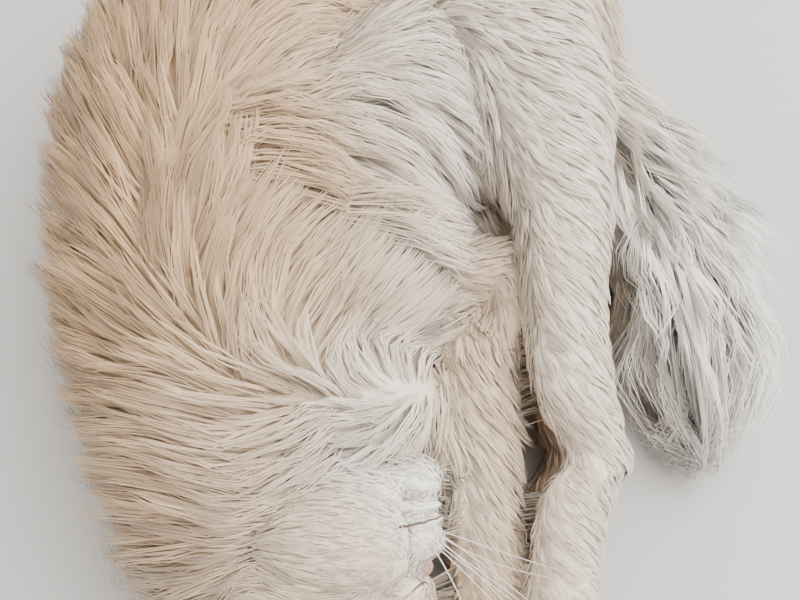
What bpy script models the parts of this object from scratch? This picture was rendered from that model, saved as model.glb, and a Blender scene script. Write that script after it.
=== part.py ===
"""A sleeping long-haired cat, life size: it lies curled on its right side with its chin turned up.

Metres, +Z up. The origin is on the floor at the middle of the bounding box. The head lies towards -Y with
the muzzle pointing to +X, the back runs up the -X side, and the legs and the tail lie on the +X side.
"""

import math
import random

import bmesh
import bpy
from mathutils import Matrix, Vector
from mathutils.bvhtree import BVHTree

SEED = 7
GAP = 0.0003  # what touching pieces keep between them
ORIGIN = Vector((0.0008, 0.0468, 0.0035))  # the floor's middle under the cat, in the tables below
LARGEST_SHELL_FACTOR = 2.5
FLOOR_DEPTH = 0.2
WORLD_UP = Vector((0, 0, 1))

# Each station is x, y, z, half depth in the lying plane, half thickness upwards.
TRUNK = (
    (-0.060, -0.082, 0.046, 0.036, 0.036),
    (-0.063, -0.062, 0.047, 0.042, 0.042),
    (-0.068, -0.030, 0.050, 0.050, 0.047),
    (-0.074, 0.010, 0.054, 0.060, 0.052),
    (-0.079, 0.055, 0.055, 0.064, 0.054),
    (-0.084, 0.105, 0.054, 0.065, 0.053),
    (-0.070, 0.152, 0.053, 0.063, 0.052),
    (-0.026, 0.182, 0.052, 0.059, 0.051),
    (0.026, 0.180, 0.049, 0.052, 0.048),
    (0.064, 0.158, 0.045, 0.037, 0.038),
)
BELLY = (  # the soft flank between the ribs and the thigh: x, y, z and three half sizes
    (-0.022, 0.078, 0.048, 0.050, 0.055, 0.044),
    (0.006, 0.108, 0.050, 0.050, 0.055, 0.043),
    (-0.022, 0.020, 0.045, 0.048, 0.046, 0.040),
    (-0.026, -0.036, 0.040, 0.044, 0.038, 0.038),
)
FORELEG_LEFT = (
    (-0.046, -0.004, 0.068, 0.030, 0.021),
    (-0.010, 0.008, 0.052, 0.024, 0.019),
    (0.026, 0.018, 0.050, 0.018, 0.017),
    (0.048, 0.024, 0.052, 0.014, 0.014),
    (0.045, 0.004, 0.048, 0.014, 0.014),
    (0.031, -0.022, 0.045, 0.0190, 0.0155),
    (0.031, -0.052, 0.041, 0.0190, 0.0150),
    (0.033, -0.076, 0.036, 0.0165, 0.0135),
)
FOREPAW_LEFT = (
    (0.035, -0.084, 0.034, 0.0145, 0.0115),
    (0.035, -0.098, 0.031, 0.0160, 0.0115),
    (0.035, -0.110, 0.028, 0.0150, 0.0100),
)
FORELEG_RIGHT = (
    (-0.040, -0.010, 0.028, 0.026, 0.024),
    (0.010, 0.000, 0.017, 0.019, 0.016),
    (0.026, -0.010, 0.0145, 0.0155, 0.0140),
    (0.028, -0.040, 0.0130, 0.0140, 0.0125),
    (0.030, -0.062, 0.0120, 0.0130, 0.0115),
)
FOREPAW_RIGHT = (
    (0.031, -0.070, 0.0115, 0.0135, 0.0110),
    (0.033, -0.082, 0.0110, 0.0150, 0.0105),
    (0.034, -0.092, 0.0100, 0.0140, 0.0095),
)
HINDLEG_LEFT = (
    (0.048, 0.140, 0.072, 0.043, 0.034),
    (0.061, 0.095, 0.073, 0.034, 0.031),
    (0.068, 0.045, 0.069, 0.023, 0.024),
    (0.067, 0.005, 0.065, 0.0185, 0.0190),
    (0.068, -0.028, 0.058, 0.0180, 0.0160),
    (0.076, -0.050, 0.050, 0.0150, 0.0125),
    (0.083, -0.058, 0.046, 0.0105, 0.0105),
)
HINDPAW_LEFT = (
    (0.076, -0.063, 0.047, 0.0125, 0.0125),
    (0.066, -0.080, 0.047, 0.0150, 0.0135),
    (0.062, -0.104, 0.042, 0.0150, 0.0130),
    (0.060, -0.122, 0.036, 0.0165, 0.0125),
)
HINDLEG_RIGHT = (
    (0.040, 0.138, 0.030, 0.036, 0.029),
    (0.052, 0.090, 0.026, 0.031, 0.025),
    (0.058, 0.040, 0.021, 0.025, 0.021),
    (0.062, 0.000, 0.018, 0.019, 0.017),
    (0.072, -0.032, 0.015, 0.0150, 0.0140),
    (0.078, -0.042, 0.0135, 0.0110, 0.0115),
)
HINDPAW_RIGHT = (
    (0.074, -0.050, 0.0135, 0.0125, 0.0120),
    (0.066, -0.070, 0.0135, 0.0145, 0.0125),
    (0.062, -0.094, 0.0125, 0.0145, 0.0120),
    (0.060, -0.112, 0.0120, 0.0160, 0.0115),
)
TAIL = (
    (0.078, 0.150, 0.038, 0.020, 0.019),
    (0.102, 0.112, 0.031, 0.0145, 0.0145),
    (0.120, 0.062, 0.028, 0.0140, 0.0140),
    (0.129, 0.012, 0.0265, 0.0130, 0.0130),
    (0.129, -0.014, 0.0245, 0.0100, 0.0100),
)
TAIL_SIDE_X = 0.086  # trunk and tail are made whole, and part along these lines
TAIL_ROOT_Y = 0.130
RUMP_CUT_X = -0.020
HIND_CUT_Y = 0.085
NECK_CUT_Y = -0.048
TAIL_TIP_Y = 0.030
FAR = 1.0
REGIONS = {  # low x, low y, high x, high y
    "tail_tip": (TAIL_SIDE_X, -FAR, FAR, TAIL_TIP_Y),
    "tail_middle": (TAIL_SIDE_X, TAIL_TIP_Y, FAR, HIND_CUT_Y),
    "tail_base": (TAIL_SIDE_X, HIND_CUT_Y, FAR, TAIL_ROOT_Y),
    "neck": (-FAR, -FAR, TAIL_SIDE_X, NECK_CUT_Y),
    "chest": (-FAR, NECK_CUT_Y, TAIL_SIDE_X, HIND_CUT_Y),
    "loin": (-FAR, HIND_CUT_Y, RUMP_CUT_X, FAR),
    "rump": (RUMP_CUT_X, HIND_CUT_Y, FAR, FAR),
}

# The head's own frame: forwards to the nose, left out of the left cheek, up out of the crown.
HEAD_CENTRE = Vector((-0.026, -0.099, 0.0445))
HEAD_YAW = math.radians(6)  # the muzzle turned a little to +Y
HEAD_ROLL = math.radians(18)  # the chin turned up from lying flat on the cheek
SKULL = (  # forward, left, up, and the three half sizes
    (-0.006, 0.0, 0.008, 0.040, 0.042, 0.036),
    (0.016, 0.0, 0.016, 0.025, 0.032, 0.025),
    (0.012, 0.0, -0.004, 0.027, 0.036, 0.024),
)
PAIRED_SKULL = (
    (0.002, 0.018, -0.008, 0.032, 0.028, 0.027),
    (0.020, 0.017, 0.021, 0.016, 0.017, 0.012),
    (0.0335, 0.0105, -0.0070, 0.0125, 0.0140, 0.0100),
    (0.0345, 0.0090, -0.0140, 0.0100, 0.0125, 0.0028),
)
NOSE_BRIDGE = ((0.0310, 0.0, 0.0085, 0.0105, 0.0085, 0.0110),)
CHIN = (
    (0.0345, 0.0, -0.0280, 0.0135, 0.0150, 0.0120),
    (0.018, 0.0, -0.0285, 0.0200, 0.0190, 0.0120),
)
PAIRED_JAW = (
    (0.010, 0.016, -0.0245, 0.0220, 0.0140, 0.0120),
    (0.0340, 0.0080, -0.0190, 0.0105, 0.0115, 0.0028),
)
EYE_PLACE = Vector((0.0250, 0.0200, 0.0105))
EYE_SIZE = (0.0115, 0.0110, 0.0095)
SLIT_STEPS = 9
SLIT_HALF_WIDTH = 0.0085
SLIT_BALL = (0.0026, 0.0016, 0.0006)
EARS = {  # base, the way that it stands and the way that its cup faces, in the head's frame
    "ear_left": ((-0.021, 0.029, 0.028), (-0.10, 0.54, 0.83), (0.82, 0.48, -0.20)),
    "ear_right": ((-0.018, -0.019, 0.032), (-0.10, 0.28, 0.95), (0.75, -0.70, 0.10)),
}
EAR_HEIGHT = 0.034
EAR_WIDTH = 0.034
EAR_TURN = math.radians(75)  # how far the rims curl forwards
EAR_THICKNESS = 0.0022
NOSE_PLACE = Vector((0.0420, 0.0, 0.0045))
NOSE_SIZE = (0.0040, 0.0072, 0.0048)
TOE_SPREAD = 0.0072
TOE_SIZE = (0.0085, 0.0052, 0.0058)

TRUNK_COAT = 0.001  # how far the coat's core stands out from the flesh
TAIL_COAT = 0.009
BODY_VOXEL = 0.0042
BODY_TRIANGLES = 950
LIMB_VOXEL = 0.0030
PAW_VOXEL = 0.0022
HEAD_VOXEL = 0.0020
HEAD_SOFTENING = 4

# How the coat lies, seen from above: x, y and the way that the hair points there.
LIE = (
    (-0.150, 0.000, -0.60, 0.80),
    (-0.150, 0.080, -0.45, 0.90),
    (-0.125, -0.045, -0.90, 0.45),
    (-0.095, -0.095, -0.97, -0.20),
    (-0.080, -0.020, -0.20, 1.00),
    (-0.080, 0.060, 0.10, 1.00),
    (-0.050, 0.020, 0.50, 0.85),
    (-0.015, 0.000, 0.55, 0.80),
    (-0.040, 0.065, 0.85, -0.45),
    (0.010, 0.060, 0.65, -0.75),
    (0.030, 0.100, 0.85, -0.50),
    (-0.020, 0.130, 0.80, 0.10),
    (0.020, 0.190, 0.95, 0.30),
    (-0.100, 0.140, -0.25, 1.00),
    (-0.060, 0.200, 0.20, 1.00),
    (0.080, 0.150, 0.85, -0.50),
)
LIE_SOFTNESS = 0.00005
DROOP = 0.35  # how strongly the coat also points to the floor
TAIL_SPLAY = 0.55  # how strongly the tail's locks also turn out from its middle line

# Locks: length, width, thickness and how often each size comes.
LOCK_SIZES = (
    (0.084, 0.040, 0.0078, 3),
    (0.070, 0.033, 0.0068, 4),
    (0.054, 0.026, 0.0058, 2),
)
LOCK_SUNK = 0.005
LOCK_WIDTHS = (0.62, 1.0, 0.92, 0.58)  # at the four rings before the tip
LOCK_LIFTS = (0.24, 0.52, 0.80, 1.0)  # at the rings past the root, and the tip
LARGEST_PULL = 0.005  # a lock that runs off an edge bends this far back at each ring, and no farther
LOCK_BEND = 0.7  # how strongly a lock turns to the lie at each ring
LOCK_SQUEEZES = (1.0, 0.8, 0.64, 0.5)
LOCK_CURL = math.radians(18)
LOCK_HOLLOW = 0.25  # how far a lock's rims fall, as a share of its half width
LOCK_SPACING = 0.0330
TRUNK_LIFT = 0.017
TAIL_LIFT = 0.019
NECK_SCALE = 0.78  # the ruff's and the tail's locks are smaller and closer than the body's
TAIL_SCALE = 0.80
TAIL_CROWDING = 0.80  # and the tail's are closer still for their size
LOWEST_ROOT = 0.016
ROOT_CLEARANCE = 0.009
SCATTER_TRIES = 6000


def colour_material(name, colour, roughness):
    """A plain surface of one colour."""
    material = bpy.data.materials.new(name)
    material.use_nodes = True
    shader = material.node_tree.nodes["Principled BSDF"]
    shader.inputs["Base Color"].default_value = (*colour, 1)
    shader.inputs["Roughness"].default_value = roughness
    return material


def smooth_path(stations, count):
    """Points on a Catmull-Rom curve through the stations, with their half sizes carried along."""
    rows = [Vector(row) for row in stations]
    rows = [rows[0] * 2 - rows[1], *rows, rows[-1] * 2 - rows[-2]]
    spans = len(stations) - 1
    found = []
    for step in range(count):
        place = step * spans / (count - 1)
        span = min(int(place), spans - 1)
        t = place - span
        a, b, c, d = rows[span : span + 4]
        found.append(
            (b * 2 + (c - a) * t + (a * 2 - b * 5 + c * 4 - d) * t**2 + (b * 3 - a - c * 3 + d) * t**3) * 0.5
        )
    return found


def add_ball(mesh, centre, axes, sizes):
    """An ellipsoid in the bmesh, its half sizes along the three axes."""
    turn = Matrix((axes[0], axes[1], axes[2])).transposed().to_4x4()
    place = Matrix.Translation(centre) @ turn @ Matrix.Diagonal((*sizes, 1))
    bmesh.ops.create_uvsphere(mesh, u_segments=20, v_segments=12, radius=1, matrix=place)


def add_limb(mesh, stations, coat=0.0, balls_per_span=5):
    """A run of overlapping ellipsoids along a smooth path, grown by the coat's depth."""
    path = smooth_path(stations, balls_per_span * (len(stations) - 1) + 1)
    for i, row in enumerate(path):
        ahead, behind = path[min(i + 1, len(path) - 1)], path[max(i - 1, 0)]
        along = Vector((ahead - behind)[:3]).normalized()
        side = along.cross(WORLD_UP).normalized()
        above = side.cross(along)
        deep, thick = row[3] + coat, row[4] + coat
        add_ball(mesh, Vector(row[:3]) - ORIGIN, (along, side, above), (min(deep, thick), deep, thick))


def head_axes():
    """The head's forward, left and up directions in the part's frame."""
    forward = Vector((math.cos(HEAD_YAW), math.sin(HEAD_YAW), 0))
    chin_side = Vector((-forward.y, forward.x, 0))
    left = (WORLD_UP * math.cos(HEAD_ROLL) - chin_side * math.sin(HEAD_ROLL)).normalized()
    return forward, left, forward.cross(left)


def head_direction(way):
    return sum((axis * part for axis, part in zip(head_axes(), way)), Vector()).normalized()


def head_point(place):
    forward, left, above = head_axes()
    return HEAD_CENTRE - ORIGIN + forward * place[0] + left * place[1] + above * place[2]


def add_head_balls(mesh, rows, sides=(1,)):
    for row in rows:
        for side in sides:
            add_ball(mesh, head_point((row[0], row[1] * side, row[2])), head_axes(), row[3:])


def new_object(name, mesh, collection):
    obj = bpy.data.objects.new(name, mesh)
    collection.objects.link(obj)
    return obj


def applied(obj):
    """Replaces the object's mesh with what its modifiers make of it."""
    graph = bpy.context.evaluated_depsgraph_get()
    made = bpy.data.meshes.new_from_object(obj.evaluated_get(graph))
    obj.modifiers.clear()
    old = obj.data
    obj.data = made
    bpy.data.meshes.remove(old)
    return obj


def fused(name, mesh, voxel, smoothing, triangles, collection):
    """One closed, smoothed skin over all that the bmesh holds, cut down to about that many triangles."""
    data = bpy.data.meshes.new(name)
    mesh.to_mesh(data)
    mesh.free()
    obj = new_object(name, data, collection)
    remesh = obj.modifiers.new("Fuse", "REMESH")
    remesh.mode = "VOXEL"
    remesh.voxel_size = voxel
    if smoothing:
        smooth = obj.modifiers.new("Soften", "SMOOTH")
        smooth.factor = 0.5
        smooth.iterations = smoothing
    applied(obj)
    count = sum(len(face.vertices) - 2 for face in obj.data.polygons)
    thin = obj.modifiers.new("Thin out", "DECIMATE")
    thin.ratio = min(1.0, triangles / count)
    obj.modifiers.new("Triangles", "TRIANGULATE")
    return applied(obj)


def boolean(obj, operation, operand, solver="MANIFOLD"):
    """Joins or cuts the object with another object or a collection, and applies it."""
    modifier = obj.modifiers.new(operation.title(), "BOOLEAN")
    modifier.operation = operation
    modifier.solver = solver
    if isinstance(operand, bpy.types.Collection):
        modifier.operand_type = "COLLECTION"
        modifier.collection = operand
    else:
        modifier.object = operand
    return applied(obj)


def box_cutter(name, low, high, cutters):
    mesh = bmesh.new()
    middle = (Vector(low) + Vector(high)) / 2
    size = Vector(high) - Vector(low)
    bmesh.ops.create_cube(mesh, size=1, matrix=Matrix.Translation(middle) @ Matrix.Diagonal((*size, 1)))
    data = bpy.data.meshes.new(name)
    mesh.to_mesh(data)
    mesh.free()
    return as_cutter(new_object(name, data, cutters))


def as_cutter(obj):
    obj.hide_render = True
    obj.display_type = "WIRE"
    return obj


def grown_copy(obj, distance, cutters):
    """A cutter: the object's shape with every face moved out by the distance."""
    mesh = bmesh.new()
    mesh.from_mesh(obj.data)
    moved = [
        vertex.co + vertex.normal * distance * min(vertex.calc_shell_factor(), LARGEST_SHELL_FACTOR)
        for vertex in mesh.verts
    ]
    for vertex, place in zip(mesh.verts, moved):
        vertex.co = place
    data = bpy.data.meshes.new(obj.name + "_clearance")
    mesh.to_mesh(data)
    mesh.free()
    return as_cutter(new_object(obj.name + "_clearance", data, cutters))


def keep_largest(obj):
    """Drops all but the largest closed surface of the mesh."""
    mesh = bmesh.new()
    mesh.from_mesh(obj.data)
    left = set(mesh.faces)
    islands = []
    while left:
        first = left.pop()
        island, waiting = [first], [first]
        while waiting:
            for edge in waiting.pop().edges:
                for face in edge.link_faces:
                    if face in left:
                        left.remove(face)
                        island.append(face)
                        waiting.append(face)
        islands.append(island)
    islands.sort(key=lambda faces: sum(face.calc_area() for face in faces), reverse=True)
    for island in islands[1:]:
        bmesh.ops.delete(mesh, geom=island, context="FACES")
    mesh.to_mesh(obj.data)
    mesh.free()
    return obj


def limb_node(name, stations, triangles, parts, voxel=LIMB_VOXEL, extra=()):
    mesh = bmesh.new()
    add_limb(mesh, stations)
    for centre, axes, sizes in extra:
        add_ball(mesh, centre, axes, sizes)
    return fused(name, mesh, voxel, 3, triangles, parts)


def toes(stations):
    """Four toe balls fanned out at the end of a paw."""
    end, before = Vector(stations[-1][:3]), Vector(stations[-2][:3])
    along = (end - before).normalized()
    side = along.cross(WORLD_UP).normalized()
    above = side.cross(along)
    found = []
    for place in (-1.5, -0.5, 0.5, 1.5):
        forward = 0.0105 - 0.0016 * abs(place) ** 2
        centre = end + along * forward + side * place * TOE_SPREAD - above * 0.002
        found.append((centre - ORIGIN, (along, side, above), TOE_SIZE))
    return found


def ear_node(name, parts):
    """A rounded, cupped ear: an open curved sheet given thickness."""
    base, stands, faces = EARS[name]
    outward = head_direction(stands)
    front = head_direction(faces)
    front = (front - outward * front.dot(outward)).normalized()
    across = outward.cross(front)
    base = head_point(base)
    mesh = bmesh.new()
    rows, columns = 6, 8
    grid = []
    for r in range(rows):
        height = r / (rows - 1)
        half = EAR_WIDTH / 2 * math.sqrt(max(0.0, 1 - height**2.6)) + 0.0012
        line = []
        for c in range(columns):
            turn = EAR_TURN * (2 * c / (columns - 1) - 1)
            place = (
                base
                + outward * (EAR_HEIGHT * height - 0.006)
                + across * half * math.sin(turn) / math.sin(EAR_TURN)
                - front * half * 0.75 * (math.cos(turn) - 0.26)
                + front * 0.005 * height
            )
            line.append(mesh.verts.new(place))
        grid.append(line)
    for r in range(rows - 1):
        for c in range(columns - 1):
            mesh.faces.new((grid[r][c], grid[r][c + 1], grid[r + 1][c + 1], grid[r + 1][c]))
    data = bpy.data.meshes.new(name)
    mesh.to_mesh(data)
    mesh.free()
    obj = new_object(name, data, parts)
    shell = obj.modifiers.new("Thickness", "SOLIDIFY")
    shell.thickness = EAR_THICKNESS
    shell.offset = 0
    obj.modifiers.new("Triangles", "TRIANGULATE")
    applied(obj)
    outside = bmesh.new()
    outside.from_mesh(obj.data)
    bmesh.ops.recalc_face_normals(outside, faces=outside.faces)
    outside.to_mesh(obj.data)
    outside.free()
    return obj


def nose_node(parts, cutters):
    """The nose leather with its two nostrils."""
    mesh = bmesh.new()
    add_ball(mesh, head_point(NOSE_PLACE), head_axes(), NOSE_SIZE)
    add_ball(mesh, head_point(NOSE_PLACE + Vector((-0.001, 0, -0.0035))), head_axes(), (0.003, 0.003, 0.003))
    nose = fused("nose", mesh, 0.0008, 2, 200, parts)
    holes = bmesh.new()
    for side in (-1, 1):
        centre = NOSE_PLACE + Vector((0.0032, 0.0034 * side, -0.0006))
        add_ball(holes, head_point(centre), head_axes(), (0.0022, 0.0012, 0.0010))
    nostrils = as_cutter(fused("nostrils", holes, 0.0004, 1, 80, cutters))
    return boolean(nose, "DIFFERENCE", nostrils)


def lid_slit(name, side, cutters):
    """The line where the two lids of a closed eye meet."""
    mesh = bmesh.new()
    for step in range(SLIT_STEPS):
        across = (2 * step / (SLIT_STEPS - 1) - 1) * SLIT_HALF_WIDTH
        bend = (across / SLIT_HALF_WIDTH) ** 2
        centre = EYE_PLACE + Vector((EYE_SIZE[0] + 0.0008 - 0.0034 * bend, across, 0.0022 * bend - 0.0022))
        centre.y *= side
        add_ball(mesh, head_point(centre), head_axes(), SLIT_BALL)
    return as_cutter(fused(name, mesh, 0.0004, 1, 100, cutters))


def head_node(parts, cutters):
    mesh = bmesh.new()
    add_head_balls(mesh, SKULL)
    add_head_balls(mesh, PAIRED_SKULL, (-1, 1))
    add_head_balls(mesh, NOSE_BRIDGE)
    add_head_balls(mesh, ((*EYE_PLACE, *EYE_SIZE),), (-1, 1))
    head = fused("head", mesh, HEAD_VOXEL, HEAD_SOFTENING, 1400, parts)
    for name, side in (("slit_left", 1), ("slit_right", -1)):
        boolean(head, "DIFFERENCE", lid_slit(name, side, cutters))
    return head


def jaw_node(parts):
    mesh = bmesh.new()
    add_head_balls(mesh, CHIN)
    add_head_balls(mesh, PAIRED_JAW, (-1, 1))
    return fused("lower_jaw", mesh, HEAD_VOXEL, 6, 380, parts)


def region_box(name, margin, cutters):
    """A tall box over one region of the body, its sides moved out by the margin."""
    left, near, right, far = REGIONS[name]
    low = Vector((left - margin, near - margin, -FAR)) - ORIGIN
    high = Vector((right + margin, far + margin, FAR)) - ORIGIN
    return box_cutter(name + "_region", low, high, cutters)


def parted(body, cutters):
    """The body parted along its regions."""
    made = []
    for name in REGIONS:
        piece = new_object(name, body.data.copy(), body.users_collection[0])
        boolean(piece, "INTERSECT", region_box(name, -GAP / 2, cutters))
        if name == "rump":
            boolean(piece, "DIFFERENCE", region_box("tail_base", GAP / 2, cutters))
        made.append(keep_largest(piece))
    bpy.data.objects.remove(body)
    return made


def surface_tree(objects):
    """One search tree over the surfaces of several objects."""
    points, faces = [], []
    for obj in objects:
        start = len(points)
        points += [vertex.co.copy() for vertex in obj.data.vertices]
        faces += [[start + v for v in face.vertices] for face in obj.data.polygons]
    return BVHTree.FromPolygons(points, faces)


def on_tail(place):
    return place.x + ORIGIN.x > TAIL_SIDE_X and place.y + ORIGIN.y < TAIL_ROOT_Y


def lock_scale(place):
    if on_tail(place):
        return TAIL_SCALE
    return NECK_SCALE if place.y + ORIGIN.y < NECK_CUT_Y else 1.0


def scattered(obj, others, draw):
    """Places strewn over the object, clear of the floor, of the other nodes and of one another."""
    corners = [vertex.co for vertex in obj.data.vertices]
    faces = list(obj.data.polygons)
    chosen = []
    for face in draw.choices(faces, [face.area for face in faces], k=SCATTER_TRIES):
        a, b, c = (corners[i] for i in face.vertices)
        u, v = sorted((draw.random(), draw.random()))
        place = a * u + b * (v - u) + c * (1 - v)
        room = LOCK_SPACING * lock_scale(place) * (TAIL_CROWDING if on_tail(place) else 1.0)
        if place.z < LOWEST_ROOT or any((place - other).length < room for other in chosen):
            continue
        near, normal, _, distance = others.find_nearest(place)
        if distance > ROOT_CLEARANCE and (place - near).dot(normal) > 0:
            chosen.append(place)
    return chosen


def trunk_direction(place):
    """The way that the body's coat points at a place."""
    total = Vector((0, 0, 0))
    for x, y, right, ahead in LIE:
        near = (place.x + ORIGIN.x - x) ** 2 + (place.y + ORIGIN.y - y) ** 2 + LIE_SOFTNESS
        total += Vector((right, ahead, 0)) / near**1.5
    return total.normalized() - WORLD_UP * DROOP


def coat_direction(place):
    """The way that the coat points: on the tail along it to its tip and out from its middle line."""
    if not on_tail(place):
        return trunk_direction(place)
    path = smooth_path(TAIL, 30)
    centres = [Vector(row[:3]) - ORIGIN for row in path]
    i = min(range(len(path) - 1), key=lambda k: (centres[k] - place).length)
    along = (centres[i + 1] - centres[i]).normalized()
    return along + (place - centres[i]).normalized() * TAIL_SPLAY


def lock_path(surface, root, length, lift):
    """Centres and normals of a lock that starts in the core and lies along the coat."""
    place, normal = surface.find_nearest(root)[:2]
    heading = coat_direction(place)
    rows = [(place - normal * LOCK_SUNK, normal)]
    for share in LOCK_LIFTS:
        heading = heading.normalized() + coat_direction(place).normalized() * LOCK_BEND
        heading = (heading - normal * heading.dot(normal)).normalized()
        ahead = place + heading * length / len(LOCK_LIFTS)
        near, facing = surface.find_nearest(ahead)[:2]
        pull = near - ahead
        if pull.dot(facing) < 0 and pull.length > LARGEST_PULL:
            pull *= LARGEST_PULL / pull.length
        place = ahead + pull
        normal = (normal + facing).normalized()
        rows.append((place + normal * lift * share, normal))
    return rows


def lock_mesh(rows, width, thickness, curl):
    """A flat lock with a ridge along its back, closed at the root and drawn to a tip."""
    mesh = bmesh.new()
    rings = []
    for i, share in enumerate(LOCK_WIDTHS):
        centre, normal = rows[i]
        along = (rows[i + 1][0] - rows[max(i - 1, 0)][0]).normalized()
        normal = Matrix.Rotation(curl * i / len(LOCK_WIDTHS), 3, along) @ normal
        side = along.cross(normal).normalized()
        above = side.cross(along)
        half = width / 2 * share
        deep = thickness * (1 - 0.5 * i / len(LOCK_WIDTHS)) - half * LOCK_HOLLOW
        rim = centre - above * half * LOCK_HOLLOW
        corners = (rim - side * half, centre + above * deep, rim + side * half)
        rings.append([mesh.verts.new(corner) for corner in corners])
    tip = mesh.verts.new(rows[-1][0])
    mesh.faces.new(rings[0])
    for low, high in zip(rings, rings[1:]):
        for k in range(3):
            after = (k + 1) % 3
            mesh.faces.new((low[k], high[after], high[k]))
            mesh.faces.new((low[k], low[after], high[after]))
    for k in range(3):
        mesh.faces.new((rings[-1][k], tip, rings[-1][(k + 1) % 3]))
    bmesh.ops.recalc_face_normals(mesh, faces=mesh.faces)
    return mesh


def crosses_itself(mesh):
    """Whether two faces that share no corner cut each other."""
    mesh.faces.ensure_lookup_table()
    tree = BVHTree.FromBMesh(mesh)
    faces = mesh.faces
    return any(not set(faces[i].verts) & set(faces[j].verts) for i, j in tree.overlap(tree) if i < j)


def add_lock(rows, width, thickness, curl, locks):
    """Adds a lock to the collection, made narrower where its bend is too tight for its width."""
    for share in LOCK_SQUEEZES:
        mesh = lock_mesh(rows, width * share, thickness, curl)
        sound = not crosses_itself(mesh)
        if sound:
            data = bpy.data.meshes.new("lock")
            mesh.to_mesh(data)
            new_object("lock", data, locks)
        mesh.free()
        if sound:
            return


def grow_locks(body, others, draw):
    """Strews locks over the body and joins them to it."""
    locks = bpy.data.collections.new("Locks")
    bpy.context.scene.collection.children.link(locks)
    surface = surface_tree([body, *others])
    weights = [size[3] for size in LOCK_SIZES]
    for root in scattered(body, surface_tree(others), draw):
        length, width, thickness, _ = draw.choices(LOCK_SIZES, weights)[0]
        vary = draw.uniform(0.88, 1.12) * lock_scale(root)
        lift = (TAIL_LIFT if on_tail(root) else TRUNK_LIFT) * draw.uniform(0.85, 1.15)
        rows = lock_path(surface, root, length * vary, lift)
        add_lock(rows, width * vary, thickness, LOCK_CURL * draw.uniform(-1, 1), locks)
    boolean(body, "UNION", locks)
    for lock in list(locks.objects):
        data = lock.data
        bpy.data.objects.remove(lock)
        bpy.data.meshes.remove(data)
    bpy.data.collections.remove(locks)
    return keep_largest(body)


def body_node(others, parts):
    """Trunk and tail in one, with their coat."""
    mesh = bmesh.new()
    add_limb(mesh, TRUNK, TRUNK_COAT)
    add_limb(mesh, TAIL, TAIL_COAT)
    for row in BELLY:
        add_ball(mesh, Vector(row[:3]) - ORIGIN, Matrix.Identity(3), row[3:])
    body = fused("body", mesh, BODY_VOXEL, 3, BODY_TRIANGLES, parts)
    return grow_locks(body, others, random.Random(SEED))


def main():
    for obj in list(bpy.data.objects):
        bpy.data.objects.remove(obj)
    parts = bpy.data.collections.new("Sleeping cat")
    cutters = bpy.data.collections.new("Cutters")
    for collection in (parts, cutters):
        bpy.context.scene.collection.children.link(collection)

    nodes = []
    nodes.append(nose_node(parts, cutters))
    nodes += [ear_node(name, parts) for name in EARS]
    nodes.append(head_node(parts, cutters))
    nodes.append(jaw_node(parts))
    for name, stations, triangles in (
        ("forepaw_left", FOREPAW_LEFT, 340),
        ("hindpaw_left", HINDPAW_LEFT, 340),
        ("forepaw_right", FOREPAW_RIGHT, 280),
        ("hindpaw_right", HINDPAW_RIGHT, 280),
    ):
        nodes.append(limb_node(name, stations, triangles, parts, PAW_VOXEL, toes(stations)))
    for name, stations, triangles in (
        ("foreleg_left", FORELEG_LEFT, 360),
        ("hindleg_left", HINDLEG_LEFT, 360),
        ("foreleg_right", FORELEG_RIGHT, 280),
        ("hindleg_right", HINDLEG_RIGHT, 280),
    ):
        nodes.append(limb_node(name, stations, triangles, parts))
    pieces = parted(body_node(nodes, parts), cutters)

    floor = box_cutter("floor", (-1, -1, -FLOOR_DEPTH), (1, 1, 0), cutters)
    clearances = [grown_copy(node, GAP, cutters) for node in nodes]
    for i, node in enumerate([*nodes, *pieces]):
        boolean(node, "DIFFERENCE", floor)
        for clearance in clearances[:i]:
            boolean(node, "DIFFERENCE", clearance)
        keep_largest(node)

    coat = colour_material("cream coat", (0.80, 0.68, 0.56), 0.9)
    leather = colour_material("nose leather", (0.62, 0.36, 0.32), 0.5)
    for node in [*nodes, *pieces]:
        node.data.materials.clear()
        node.data.materials.append(leather if node.name == "nose" else coat)


main()
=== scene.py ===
"""The looks of a sleeping long-haired cream cat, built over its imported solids."""

import math

import bmesh
import bpy
import numpy as np
from mathutils import Matrix, Vector
from mathutils.bvhtree import BVHTree
from mathutils.kdtree import KDTree

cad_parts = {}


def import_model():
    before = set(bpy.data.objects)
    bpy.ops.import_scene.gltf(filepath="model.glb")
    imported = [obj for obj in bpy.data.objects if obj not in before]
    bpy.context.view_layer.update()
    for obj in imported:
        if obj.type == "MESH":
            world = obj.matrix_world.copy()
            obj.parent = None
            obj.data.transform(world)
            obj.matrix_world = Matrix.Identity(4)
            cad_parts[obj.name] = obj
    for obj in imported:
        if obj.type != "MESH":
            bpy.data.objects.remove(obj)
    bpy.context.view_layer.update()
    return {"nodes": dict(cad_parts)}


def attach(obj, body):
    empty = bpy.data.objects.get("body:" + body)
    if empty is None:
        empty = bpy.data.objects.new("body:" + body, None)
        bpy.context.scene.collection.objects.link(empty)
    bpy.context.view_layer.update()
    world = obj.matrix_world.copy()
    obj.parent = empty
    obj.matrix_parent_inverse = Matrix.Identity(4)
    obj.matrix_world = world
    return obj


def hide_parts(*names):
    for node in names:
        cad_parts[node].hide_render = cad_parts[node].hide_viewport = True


SEED = 11
WORLD_UP = Vector((0, 0, 1))
ORIGIN = Vector((0.0008, 0.0468, 0.0035))  # the floor's middle under the cat, in the tables below
FLOOR_CLEARANCE = 0.0006
CEILING = 0.1240  # no hair stands higher

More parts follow.
